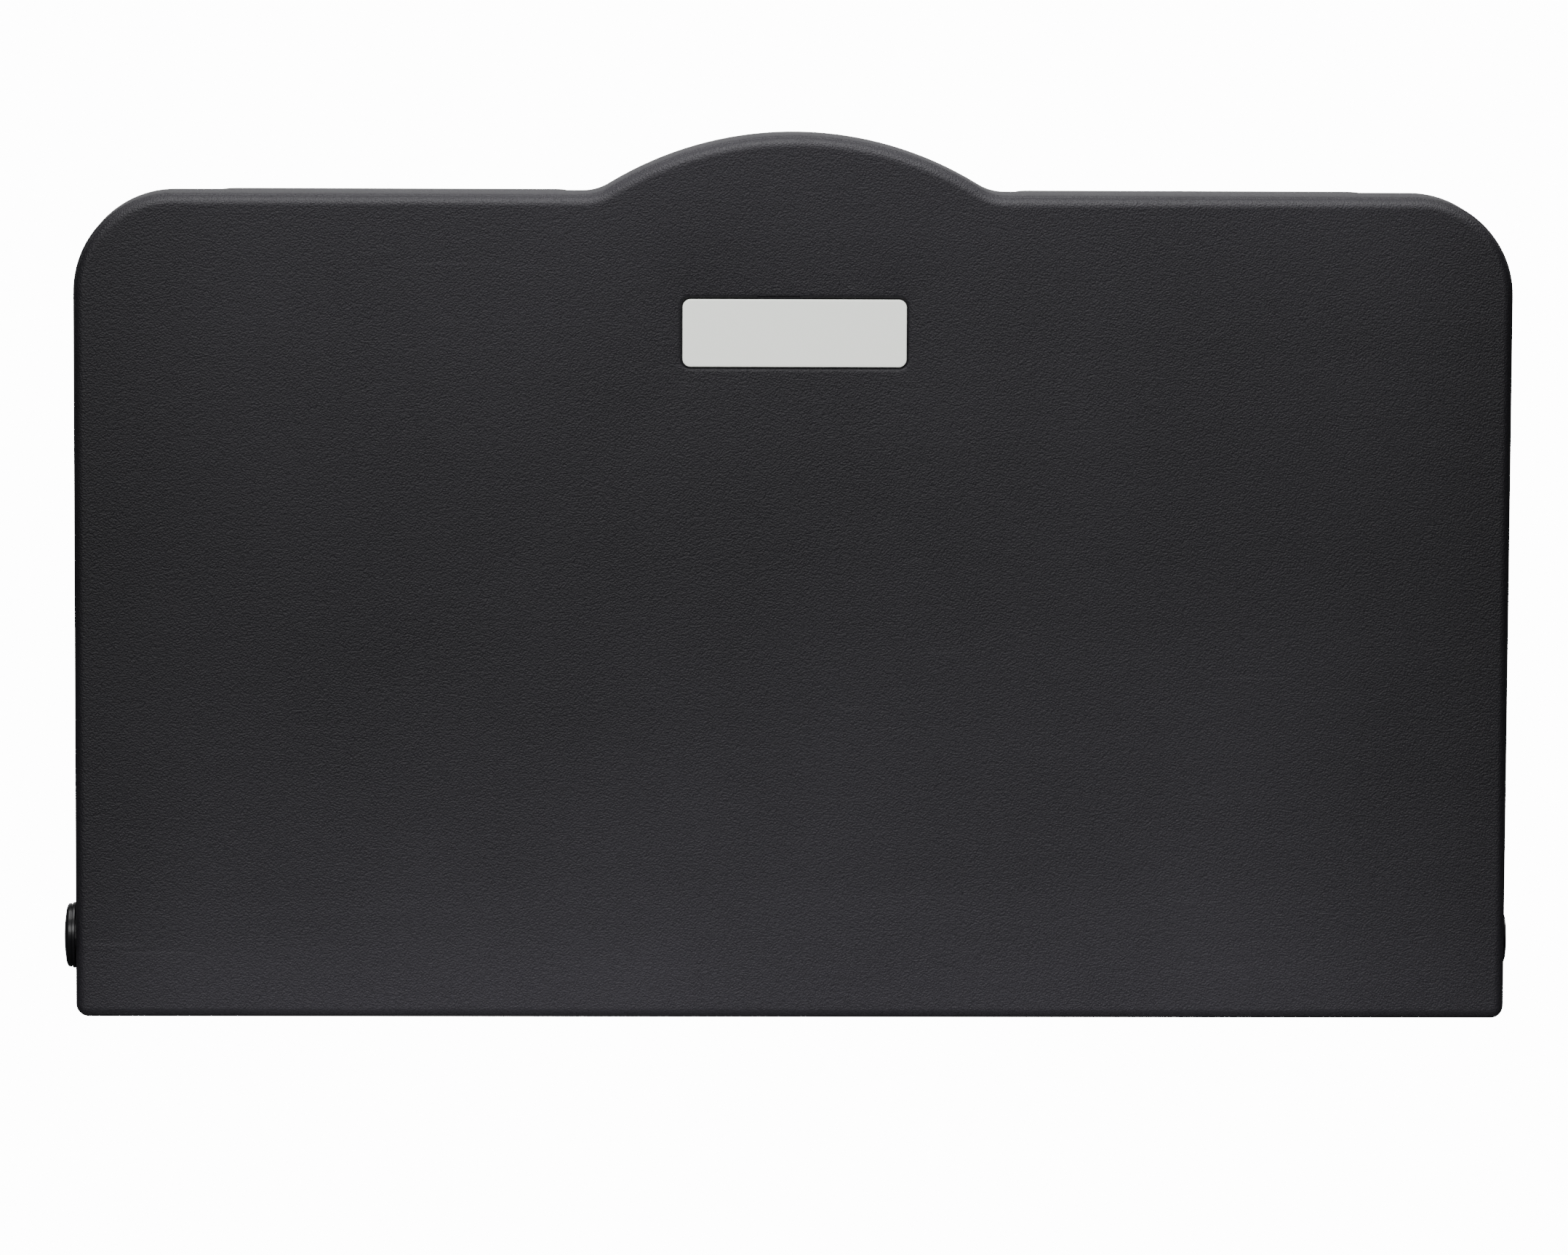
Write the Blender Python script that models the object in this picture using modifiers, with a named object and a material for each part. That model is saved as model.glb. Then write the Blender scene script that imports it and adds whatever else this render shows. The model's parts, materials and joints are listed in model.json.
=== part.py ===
"""A fold-down baby changing station for a washroom wall, folded shut.

X runs along the hinge, the wall is the plane y = 0 with the station in front of it at
negative y, and +Z is up. The origin is the middle of the steel back plate's rear face.
The bed door turns about a steel shaft near its lower edge, and its front swings forward
and down to a level bed. The wall unit behind it holds the liner dispenser and bag hooks.
"""

import math

import bmesh
import bpy
from mathutils import Matrix, Vector

GAP = 0.0003  # between pieces that touch
SAG = 0.0004  # how far a flat facet may lie inside its arc
ORIGIN_HEIGHT = 0.155  # the back plate's middle above the door's lower edge

# Bed door
WIDTH = 0.870
DEPTH = 0.102
DOOR_THICK = 0.050
DOOR_REAR = DOOR_THICK - DEPTH
SHOULDER = 0.5015
CORNER_RADIUS = 0.060
FOOT_CORNER_RADIUS = 0.008
HUMP_RADIUS = 0.215
HUMP_SLOPE = math.radians(31)
HUMP_FOOT_RADIUS = 0.030
HUMP_STRAIGHT = 0.002  # between the hump's arc and the hollow at its foot
FRONT_ROUND = 0.007
SHELL_WALL = 0.0035
BED_WALL = 0.003
TUB_HALF_WIDTH = 0.376
TUB_LOW = 0.116
TUB_HIGH = 0.464
TUB_CORNER = 0.070
TUB_DEPTH = 0.032
TUB_SLOPE_WIDTH = 0.060
NAME_PLATE_HEIGHT = 0.4185
NAME_PLATE_SIZE = (0.136, 0.0415, 0.002)
PLATE_RECESS_HALF = (0.070, 0.0225, 0.0025)  # half width, half height and depth

# Hinge
PIVOT_HEIGHT = 0.048
PIVOT_Y = DOOR_REAR - DOOR_THICK / 2
SHAFT_RADIUS = 0.006
SHAFT_BORE = 0.0064
EAR_INNER = 0.372
EAR_THICK = 0.003
EAR_NOSE = 0.014
EAR_SLOT = 0.0015  # clearance each side of an ear in the door
BLOCK_INNER = 0.300
BLOCK_OUTER = 0.316
HUB_RADIUS = 0.020
HUB_PROUD = 0.008
DAMPER_RADIUS = 0.015
SIDE_BUSH_RADIUS = 0.012

# Wall unit
PLATE_HALF_WIDTH = 0.385
PLATE_LOW = 0.030
PLATE_HIGH = 0.280
PLATE_THICK = 0.003
UNIT_HALF_WIDTH = 0.402
UNIT_LOW = 0.080
UNIT_HIGH = 0.499
UNIT_DEPTH = 0.046
UNIT_WALL = 0.003
UNIT_RIM = 0.024
RIM_ROUND = 0.008
FLOOR_Y = -(PLATE_THICK + GAP + UNIT_WALL)
STUD_SPACING = 0.4064
STUD_HOLE_HEIGHTS = (0.118, 0.262)
STUD_HOLE_RADIUS = 0.005

# Liner dispenser
BOX_HALF_WIDTH = 0.140
BOX_LOW = 0.185
BOX_HIGH = 0.375
BOX_FRONT = -0.050
BOX_WALL = 0.0025
LID_THICK = 0.0025
LID_PIN_Y = -0.0125
LID_PIN_HEIGHT = 0.3795
LID_PIN_RADIUS = 0.00125
KNUCKLE_RADIUS = 0.0034
LOCK_Y = -0.033

# Strap
STRAP_HEIGHT = 0.290
STRAP_WIDTH = 0.038
STRAP_THICK = 0.0018
ANCHOR_X = 0.192
BUCKLE_REAR = -0.0695
BUCKLE_SPLIT = 0.010  # where the socket's mouth is


def up(height):
    """The z of a point this far above the door's lower edge."""
    return height - ORIGIN_HEIGHT


PIVOT = Vector((0, PIVOT_Y, up(PIVOT_HEIGHT)))
TUB_FLOOR = DOOR_REAR - TUB_DEPTH


def clear_scene():
    for obj in list(bpy.data.objects):
        bpy.data.objects.remove(obj, do_unlink=True)


def new_collection(name):
    collection = bpy.data.collections.new(name)
    bpy.context.scene.collection.children.link(collection)
    return collection


def new_material(name, colour, roughness, metallic=0.0):
    material = bpy.data.materials.new(name)
    material.use_nodes = True
    shader = material.node_tree.nodes["Principled BSDF"]
    shader.inputs["Base Color"].default_value = (*colour, 1)
    shader.inputs["Roughness"].default_value = roughness
    shader.inputs["Metallic"].default_value = metallic
    material.diffuse_color = (*colour, 1)
    return material


clear_scene()
STATION = new_collection("changing_station")
CUTTERS = new_collection("cutters")
CUTTERS.hide_render = True

CHARCOAL = new_material("charcoal_polyethylene", (0.028, 0.026, 0.031), 0.5)
BLACK_GLOSS = new_material("black_gloss_cap", (0.010, 0.010, 0.011), 0.18)
NYLON = new_material("black_nylon", (0.018, 0.018, 0.019), 0.45)
PALE = new_material("pale_plate", (0.62, 0.65, 0.60), 0.4)
STEEL = new_material("painted_steel", (0.050, 0.050, 0.054), 0.42, 0.6)
ZINC = new_material("zinc_steel", (0.58, 0.59, 0.60), 0.3, 1.0)
SPRING = new_material("spring_steel", (0.20, 0.20, 0.21), 0.35, 1.0)
RUBBER = new_material("black_rubber", (0.012, 0.012, 0.012), 0.8)
CHROME = new_material("chrome_lock", (0.75, 0.76, 0.77), 0.12, 1.0)
PAPER = new_material("liner_paper", (0.82, 0.83, 0.84), 0.9)
LABEL = new_material("label_film", (0.80, 0.82, 0.83), 0.45)
WEBBING = new_material("nylon_webbing", (0.015, 0.015, 0.016), 0.85)


# Making and placing objects


def pivot_empty(name, at):
    empty = bpy.data.objects.new(name, None)
    empty.location = at
    STATION.objects.link(empty)
    return empty


def add_object(name, bm, material, at=(0, 0, 0), parent=None, smooth=False, cutter=False):
    """Puts a mesh into the scene with its own origin at a world point."""
    bmesh.ops.recalc_face_normals(bm, faces=bm.faces)
    mesh = bpy.data.meshes.new(name)
    bm.to_mesh(mesh)
    bm.free()
    if smooth:
        mesh.shade_smooth()
        mesh.set_sharp_from_angle(angle=math.radians(35))
    obj = bpy.data.objects.new(name, mesh)
    obj.location = Vector(at) - (parent.location if parent else Vector())
    obj.parent = parent
    if cutter:
        CUTTERS.objects.link(obj)
        obj.hide_render = True
        obj.display_type = "WIRE"
    else:
        STATION.objects.link(obj)
        mesh.materials.append(material)
    return obj


def box_mesh(low, high, middle):
    """A bmesh box between two world corners, relative to its object's middle."""
    low, high, middle = Vector(low), Vector(high), Vector(middle)
    bm = bmesh.new()
    size = high - low
    place = Matrix.Translation((low + high) / 2 - middle) @ Matrix.Diagonal((*size, 1))
    bmesh.ops.create_cube(bm, size=1, matrix=place)
    return bm


def box(name, low, high, material, parent=None, rounding=0.0, cutter=False):
    middle = (Vector(low) + Vector(high)) / 2
    bm = box_mesh(low, high, middle)
    if rounding:
        bmesh.ops.bevel(
            bm, geom=bm.edges[:], offset=rounding, segments=2, profile=0.5, affect="EDGES"
        )
    return add_object(name, bm, material, middle, parent, cutter=cutter)


AXIS_TURN = {
    "X": Matrix.Rotation(math.pi / 2, 4, "Y"),
    "Y": Matrix.Rotation(-math.pi / 2, 4, "X"),
    "Z": Matrix.Identity(4),
}
AXIS_WAY = {"X": Vector((1, 0, 0)), "Y": Vector((0, 1, 0)), "Z": Vector((0, 0, 1))}


def cylinder(name, axis, start, end, centre, radius, material, parent=None, sides=20, cutter=False):
    """A round bar along an axis from one coordinate to another, through a centre point."""
    way = AXIS_WAY[axis]
    middle = Vector(centre)
    middle += way * ((start + end) / 2 - middle.dot(way))
    bm = bmesh.new()
    bmesh.ops.create_cone(
        bm, cap_ends=True, segments=sides, radius1=radius, radius2=radius,
        depth=abs(end - start), matrix=AXIS_TURN[axis],
    )
    return add_object(name, bm, material, middle, parent, smooth=True, cutter=cutter)


def turned(name, axis, profile, centre, material, parent=None, steps=24):
    """A ring-like piece: profile holds (distance along the axis, radius) of a closed section."""
    bm = bmesh.new()
    corners = [bm.verts.new((radius, 0, along)) for along, radius in profile]
    edges = [bm.edges.new((a, b)) for a, b in zip(corners, corners[1:] + corners[:1])]
    bmesh.ops.spin(
        bm, geom=corners + edges, cent=(0, 0, 0), axis=(0, 0, 1), dvec=(0, 0, 0),
        angle=2 * math.pi, steps=steps, use_merge=True, use_duplicate=False,
    )
    bmesh.ops.remove_doubles(bm, verts=bm.verts, dist=1e-6)
    bmesh.ops.transform(bm, matrix=AXIS_TURN[axis], verts=bm.verts)
    return add_object(name, bm, material, centre, parent, smooth=True)


def turned_solid(name, axis, radii, centre, material, parent=None, steps=24):
    """A turned piece that closes on its axis: the outline's ends are capped by flat discs."""
    bm = bmesh.new()
    corners = [bm.verts.new((radius, 0, along)) for along, radius in radii]
    edges = [bm.edges.new((a, b)) for a, b in zip(corners, corners[1:])]
    bmesh.ops.spin(
        bm, geom=corners + edges, cent=(0, 0, 0), axis=(0, 0, 1), dvec=(0, 0, 0),
        angle=2 * math.pi, steps=steps, use_merge=True, use_duplicate=False,
    )
    bmesh.ops.remove_doubles(bm, verts=bm.verts, dist=1e-6)
    bmesh.ops.holes_fill(bm, edges=[e for e in bm.edges if e.is_boundary], sides=0)
    bmesh.ops.transform(bm, matrix=AXIS_TURN[axis], verts=bm.verts)
    return add_object(name, bm, material, centre, parent, smooth=True)


def prism(name, plane, outline, low, high, material, parent=None, cutter=False):
    """A flat outline drawn in a plane ("XZ" or "YZ" or "XY"), carried from low to high across it."""
    lift = {
        "XZ": lambda u, v: Vector((u, low, v)),
        "YZ": lambda u, v: Vector((low, u, v)),
        "XY": lambda u, v: Vector((u, v, low)),
    }[plane]
    across = {"XZ": Vector((0, 1, 0)), "YZ": Vector((1, 0, 0)), "XY": Vector((0, 0, 1))}[plane]
    points = [lift(u, v) for u, v in outline]
    middle = sum(points, Vector()) / len(points) + across * (high - low) / 2
    bm = bmesh.new()
    face = bm.faces.new([bm.verts.new(point - middle) for point in points])
    grown = bmesh.ops.extrude_face_region(bm, geom=[face])["geom"]
    top = [part for part in grown if isinstance(part, bmesh.types.BMVert)]
    bmesh.ops.translate(bm, vec=across * (high - low), verts=top)
    return add_object(name, bm, material, middle, parent, cutter=cutter)


def cut(obj, cutter, operation="DIFFERENCE"):
    modifier = obj.modifiers.new(cutter.name, "BOOLEAN")
    modifier.operation = operation
    modifier.object = cutter
    modifier.solver = "EXACT"
    return obj


def cut_box(obj, name, low, high):
    return cut(obj, box(name, low, high, None, cutter=True))


def cut_hole(obj, name, axis, start, end, centre, radius, sides=20):
    hole = cylinder(name, axis, start, end, centre, radius, None, sides=sides, cutter=True)
    return cut(obj, hole)


def add_box(obj, name, low, high):
    return cut(obj, box(name, low, high, None, cutter=True), "UNION")


# Outlines and shells


def rounded(corners, inset=0.0):
    """Points anticlockwise round an outline of (x, z, radius) corners, each side moved in by inset."""
    points = []
    for index, (x, z, radius) in enumerate(corners):
        here = Vector((x, z))
        into = (here - Vector(corners[index - 1][:2])).normalized()
        out = (Vector(corners[(index + 1) % len(corners)][:2]) - here).normalized()
        turn = math.atan2(into.x * out.y - into.y * out.x, into.dot(out))
        side = math.copysign(1, turn)
        inward_in = Vector((-into.y, into.x))
        inward_out = Vector((-out.y, out.x))
        here += (inward_in + inward_out) * inset / (1 + inward_in.dot(inward_out))
        steps = math.ceil(abs(turn) / (2 * math.acos(1 - SAG / radius)))
        reach = radius - side * inset
        start = here - into * reach * math.tan(abs(turn) / 2)
        centre = start + inward_in * reach * side
        for step in range(steps + 1):
            points.append(centre + Matrix.Rotation(turn * step / steps, 2) @ (start - centre))
    return points


def door_corners():
    half = WIDTH / 2
    foot = HUMP_RADIUS * math.sin(HUMP_SLOPE)
    foot += (HUMP_FOOT_RADIUS * math.tan(HUMP_SLOPE / 2) + HUMP_STRAIGHT) * math.cos(HUMP_SLOPE)
    shoulder = up(SHOULDER)
    return [
        (-half, up(0), FOOT_CORNER_RADIUS),
        (half, up(0), FOOT_CORNER_RADIUS),
        (half, shoulder, CORNER_RADIUS),
        (foot, shoulder, HUMP_FOOT_RADIUS),
        (0, shoulder + foot * math.tan(HUMP_SLOPE), HUMP_RADIUS),
        (-foot, shoulder, HUMP_FOOT_RADIUS),
        (-half, shoulder, CORNER_RADIUS),
    ]


def tub_corners():
    half = TUB_HALF_WIDTH
    return [
        (-half, up(TUB_LOW), TUB_CORNER),
        (half, up(TUB_LOW), TUB_CORNER),
        (half, up(TUB_HIGH), TUB_CORNER),
        (-half, up(TUB_HIGH), TUB_CORNER),
    ]


def unit_corners():
    """The wall unit's outline, with a dip in the top behind the door's hump for a hand."""
    half, low, high = UNIT_HALF_WIDTH, up(UNIT_LOW), up(UNIT_HIGH)
    dip = high - 0.035
    return [
        (-half, low, 0.032),
        (half, low, 0.032),
        (half, high, 0.062),
        (0.130, high, 0.028),
        (0.102, dip, 0.020),
        (-0.102, dip, 0.020),
        (-0.130, high, 0.028),
        (-half, high, 0.062),
    ]


def ring(bm, points, y):
    """The vertices of a closed loop through outline points at one depth."""
    return [bm.verts.new((point.x, y, point.y)) for point in points]


def pairs(loop):
    return list(zip(loop, loop[1:] + loop[:1]))


def stacked(bm, corners, profile):
    """Lofts rings of one outline, one for each (inset, y), and returns the first and last ring."""
    rings = [ring(bm, rounded(corners, inset), y) for inset, y in profile]
    for near, far in zip(rings, rings[1:]):
        for (a, b), (c, d) in zip(pairs(near), pairs(far)):
            bm.faces.new((a, b, d, c))
    return rings[0], rings[-1]


def arc(centre, radius, start, end, steps):
    """Points (u, v) along an arc, angles in degrees."""
    angles = [math.radians(start + (end - start) * step / steps) for step in range(steps + 1)]
    return [(centre[0] + radius * math.cos(a), centre[1] + radius * math.sin(a)) for a in angles]


def thicken(obj, wall):
    """Gives an open surface its wall, on the side away from its normals."""
    modifier = obj.modifiers.new("wall", "SOLIDIFY")
    modifier.thickness = wall
    modifier.offset = -1
    modifier.use_even_offset = True
    return obj


def face_outward(bm, way):
    """Turns every normal of an open surface so that the last-made face looks along way."""
    bmesh.ops.recalc_face_normals(bm, faces=bm.faces)
    bm.normal_update()
    widest = max(bm.faces, key=lambda face: face.calc_area())
    if widest.normal.dot(Vector(way)) < 0:
        bmesh.ops.reverse_faces(bm, faces=bm.faces)
    bm.normal_update()


def add_surface(name, bm, material, way, wall, parent=None):
    """An open surface whose widest face looks along way, made into a shell."""
    face_outward(bm, way)
    at = parent.location if parent else Vector()
    bmesh.ops.translate(bm, vec=-at, verts=bm.verts)
    mesh = bpy.data.meshes.new(name)
    bm.to_mesh(mesh)
    bm.free()
    mesh.materials.append(material)
    obj = bpy.data.objects.new(name, mesh)
    obj.parent = parent
    STATION.objects.link(obj)
    return thicken(obj, wall)


BACK_PLATE_HOLES = []  # places and radii of the bolt and screw holes, gathered as those are made


# Bed door


DOOR = pivot_empty("door_pivot", PIVOT)


def ear_slot_box(side):
    """The corners of the slot that lets a hinge ear into the door as it swings."""
    edges = sorted((side * (EAR_INNER - EAR_SLOT), side * (EAR_INNER + EAR_THICK + EAR_SLOT)))
    reach = EAR_NOSE + 0.002
    low = (edges[0], PIVOT_Y - reach, up(-0.01))
    high = (edges[1], DOOR_REAR + 0.01, up(PIVOT_HEIGHT + reach))
    return low, high


def make_front_shell():
    """The outer moulding: face, rounded front edge and side walls, with the name plate's recess."""
    bm = bmesh.new()
    bend = [(FRONT_ROUND * (1 - math.cos(a)), -DEPTH + FRONT_ROUND * (1 - math.sin(a)))
            for a in (math.radians(22.5 * step) for step in range(5))]
    _, last = stacked(bm, door_corners(), [(0, DOOR_REAR)] + bend)
    bm.faces.new(last)
    shell = add_surface("front_shell", bm, CHARCOAL, (0, -1, 0), SHELL_WALL, DOOR)
    plate_x, plate_z, depth = PLATE_RECESS_HALF
    middle = up(NAME_PLATE_HEIGHT)
    add_box(
        shell, "plate_backing",
        (-plate_x - 0.005, -DEPTH + SHELL_WALL - 0.001, middle - plate_z - 0.005),
        (plate_x + 0.005, -DEPTH + SHELL_WALL + 0.003, middle + plate_z + 0.005),
    )
    recess = plate_outline(plate_x, plate_z, 0.007)
    cut(shell, prism("plate_recess", "XZ", recess, -DEPTH - 0.01, -DEPTH + depth, None, cutter=True))
    half = WIDTH / 2
    cut_hole(shell, "damper_hole", "X", -half - 0.01, -half + 0.01, PIVOT, DAMPER_RADIUS + GAP, 24)
    cut_hole(shell, "bush_hole", "X", half - 0.01, half + 0.01, PIVOT, SIDE_BUSH_RADIUS + GAP, 24)
    for side, tag in ((-1, "left"), (1, "right")):
        cut_box(shell, f"front_slot_{tag}", *ear_slot_box(side))
    return shell


def rounded_box(half_x, low, high, radius):
    """A rounded rectangle about x = 0, as (x, z) points."""
    corners = [(-half_x, low, radius), (half_x, low, radius), (half_x, high, radius), (-half_x, high, radius)]
    return [tuple(point) for point in rounded(corners)]


def plate_outline(half_x, half_z, radius):
    middle = up(NAME_PLATE_HEIGHT)
    return rounded_box(half_x, middle - half_z, middle + half_z, radius)


def make_name_plate():
    """A blank pale plate let into the face below the hump."""
    width, height, thick = NAME_PLATE_SIZE
    back = -DEPTH + PLATE_RECESS_HALF[2] - GAP
    outline = plate_outline(width / 2, height / 2, 0.005)
    prism("name_plate", "XZ", outline, back - thick, back, PALE, DOOR)


def make_bed_shell():
    """The inner moulding: a flat rim and a dished bed that faces the wall when shut."""
    bm = bmesh.new()
    outer = ring(bm, rounded(door_corners(), SHELL_WALL + GAP), DOOR_REAR)
    bowl = [(TUB_SLOPE_WIDTH * (1 - math.cos(a)), DOOR_REAR - TUB_DEPTH * math.sin(a))
            for a in (math.radians(15 * step) for step in range(7))]
    lip, floor = stacked(bm, tub_corners(), bowl)
    edges = [bm.edges.new(pair) for pair in pairs(outer)] + [bm.edges.get(pair) for pair in pairs(lip)]
    bmesh.ops.triangle_fill(bm, edges=edges, use_beauty=True, use_dissolve=False)
    bm.faces.new(floor)
    shell = add_surface("bed_shell", bm, CHARCOAL, (0, 1, 0), BED_WALL, DOOR)
    for side, tag in ((-1, "left"), (1, "right")):
        cut_box(shell, f"bed_slot_{tag}", *ear_slot_box(side))
    return shell


def make_side_fittings():
    """Left: the damper that slows the fall, under its round cap. Right: a bush and a flush cap."""
    half = WIDTH / 2
    wall_inner = half - SHELL_WALL - GAP
    flange = 0.003
    turned(
        "damper_body", "X",
        [(-half - 0.005, 0.0104), (-half - 0.005, DAMPER_RADIUS), (-wall_inner, DAMPER_RADIUS),
         (-wall_inner, 0.019), (-wall_inner + flange, 0.019), (-wall_inner + flange, DAMPER_RADIUS),
         (-0.412, DAMPER_RADIUS), (-0.412, 0.0067), (-0.415, 0.0067), (-0.415, 0.0104)],
        PIVOT, NYLON, DOOR,
    )
    lip = half + GAP
    face = half + HUB_PROUD
    turned_solid(
        "hub_cap", "X",
        [(-face + 0.0024, 0.0001), (-face + 0.0024, DAMPER_RADIUS + 0.0004),
         (-lip, DAMPER_RADIUS + 0.0004), (-lip, HUB_RADIUS), (-lip - 0.0022, HUB_RADIUS),
         (-lip - 0.0030, HUB_RADIUS - 0.0010), (-face + 0.0022, HUB_RADIUS - 0.0014),
         (-face + 0.0006, HUB_RADIUS - 0.0032), (-face, HUB_RADIUS - 0.0064), (-face, 0.0001)],
        PIVOT, BLACK_GLOSS, DOOR,
    )
    turned(
        "side_bush_right", "X",
        [(half - GAP, SHAFT_BORE), (0.416, SHAFT_BORE), (0.416, SIDE_BUSH_RADIUS),
         (wall_inner - flange, SIDE_BUSH_RADIUS), (wall_inner - flange, 0.017),
         (wall_inner, 0.017), (wall_inner, SIDE_BUSH_RADIUS), (half - GAP, SIDE_BUSH_RADIUS)],
        PIVOT, NYLON, DOOR,
    )
    turned_solid(
        "side_cap_right", "X",
        [(0.4325, 0.0058), (half + GAP, 0.0058), (half + GAP, 0.0150),
         (half + 0.0008, 0.0150), (half + 0.0013, 0.0142)],
        PIVOT, BLACK_GLOSS, DOOR,
    )


def make_bearing_blocks():
    """Nylon blocks inside the door that turn on the shaft, each held by two long screws."""
    front = -DEPTH + SHELL_WALL + GAP
    rear = DOOR_REAR - BED_WALL - 0.005
    middle = (BLOCK_INNER + BLOCK_OUTER) / 2
    half_height = 0.021
    for side, tag in ((-1, "left"), (1, "right")):
        ends = sorted((side * BLOCK_INNER, side * BLOCK_OUTER))
        block = box(
            f"bearing_block_{tag}",
            (ends[0], front, PIVOT.z - half_height), (ends[1], rear, PIVOT.z + half_height),
            NYLON, DOOR,
        )
        cut_hole(block, f"block_bore_{tag}", "X", ends[0] - 0.01, ends[1] + 0.01, PIVOT, SHAFT_BORE)
        for row, way in (("lower", -1), ("upper", 1)):
            at = (side * middle, 0, PIVOT.z + way * 0.015)
            cut_hole(block, f"block_hole_{row}_{tag}", "Y", front - 0.01, rear + 0.01, at, 0.0024, 12)
            screw(f"bearing_screw_{row}_{tag}", at, rear + GAP, front + GAP, 0.002, 0.004, DOOR)


def screw(name, at, seat, tip, shank, head, parent, sides=12):
    """A round-headed screw along Y: its head stands on seat, and its shank runs on to tip."""
    way = math.copysign(1, seat - tip)
    dome = [(tip, shank), (seat, shank), (seat, head), (seat + way * 0.0012, head),
            (seat + way * 0.0022, head * 0.6)]
    turned_solid(name, "Y", dome, (at[0], 0, at[2]), ZINC, parent, sides)


# Hinge pieces that stay with the wall


def make_shaft():
    cylinder("hinge_shaft", "X", -0.438, 0.430, PIVOT, SHAFT_RADIUS, ZINC, sides=20)
    turned(
        "damper_rotor", "X",
        [(-0.4385, SHAFT_RADIUS + 0.0005), (-0.4385, 0.0098), (-0.4155, 0.0098),
         (-0.4155, SHAFT_RADIUS + 0.0005)],
        PIVOT, NYLON, steps=20,
    )
    for side, tag in ((-1, "left"), (1, "right")):
        near = side * (EAR_INNER + EAR_THICK + 0.001)
        far = near + side * 0.0012
        clip = turned(
            f"shaft_clip_{tag}", "X",
            [(near, SHAFT_RADIUS + 0.0004), (near, 0.0100), (far, 0.0100), (far, SHAFT_RADIUS + 0.0004)],
            PIVOT, SPRING, steps=20,
        )
        low, high = sorted((near, far))
        cut_box(
            clip, f"clip_mouth_{tag}",
            (low - 0.001, PIVOT_Y - 0.003, PIVOT.z), (high + 0.001, PIVOT_Y + 0.003, PIVOT.z + 0.02),
        )


def make_springs():
    """Torsion springs between each ear and its bearing block: they carry part of the door's weight."""
    turns, around, coil, wire = 7, 8, 0.0105, 0.0016
    start, end = EAR_INNER - GAP - wire, BLOCK_OUTER + 0.001 + wire
    for side, tag in ((-1, "left"), (1, "right")):
        curve = bpy.data.curves.new(f"torsion_spring_{tag}", "CURVE")
        curve.dimensions = "3D"
        curve.bevel_depth = wire
        curve.bevel_resolution = 1
        curve.use_fill_caps = True
        spline = curve.splines.new("POLY")
        steps = turns * around
        spline.points.add(steps)
        for step, point in enumerate(spline.points):
            angle = 2 * math.pi * step / around
            along = start + (end - start) * step / steps
            point.co = (side * along, coil * math.cos(angle), coil * math.sin(angle), 1)
        curve.materials.append(SPRING)
        spring = bpy.data.objects.new(curve.name, curve)
        spring.location = PIVOT
        STATION.objects.link(spring)


def make_brackets():
    """Steel angle brackets: a foot bolted to the back plate and an ear that reaches to the shaft."""
    seat = -(PLATE_THICK + GAP)
    foot_face = seat - EAR_THICK
    reach = seat - PIVOT_Y
    arm = 0.0125
    outline = [(reach, 0.026), (0.054, arm)]
    outline += arc((0, 0), EAR_NOSE, 65, 295, 12)
    outline += [(0.054, -arm), (reach, -0.016)]
    ear = [(PIVOT_Y + y, PIVOT.z + z) for y, z in outline]
    for side, tag in ((-1, "left"), (1, "right")):
        edges = sorted((side * EAR_INNER, side * (EAR_INNER + EAR_THICK)))
        bracket = prism(f"hinge_bracket_{tag}", "YZ", ear, edges[0], edges[1], STEEL)
        foot = sorted((side * 0.338, side * (EAR_INNER + EAR_THICK / 2)))
        add_box(
            bracket, f"bracket_foot_{tag}",
            (foot[0], foot_face, PIVOT.z - 0.016), (foot[1], seat, PIVOT.z + 0.026),
        )
        cut_hole(bracket, f"ear_bore_{tag}", "X", edges[0] - 0.01, edges[1] + 0.01, PIVOT, SHAFT_BORE)
        for row, height in (("lower", -0.006), ("upper", 0.016)):
            at = (side * 0.354, 0, PIVOT.z + height)
            cut_hole(bracket, f"foot_hole_{row}_{tag}", "Y", -0.02, 0.01, at, 0.0035, 12)
            bolt = cylinder(
                f"bracket_bolt_{row}_{tag}", "Y", foot_face - GAP, foot_face - 0.0045, at, 0.006,
                ZINC, sides=6,
            )
            shank = cylinder(
                f"bolt_shank_{row}_{tag}", "Y", foot_face - 0.002, -GAP, at, 0.003, None,
                sides=12, cutter=True,
            )
            cut(bolt, shank, "UNION")
            BACK_PLATE_HOLES.append((at, 0.0035))


# Wall unit


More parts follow.
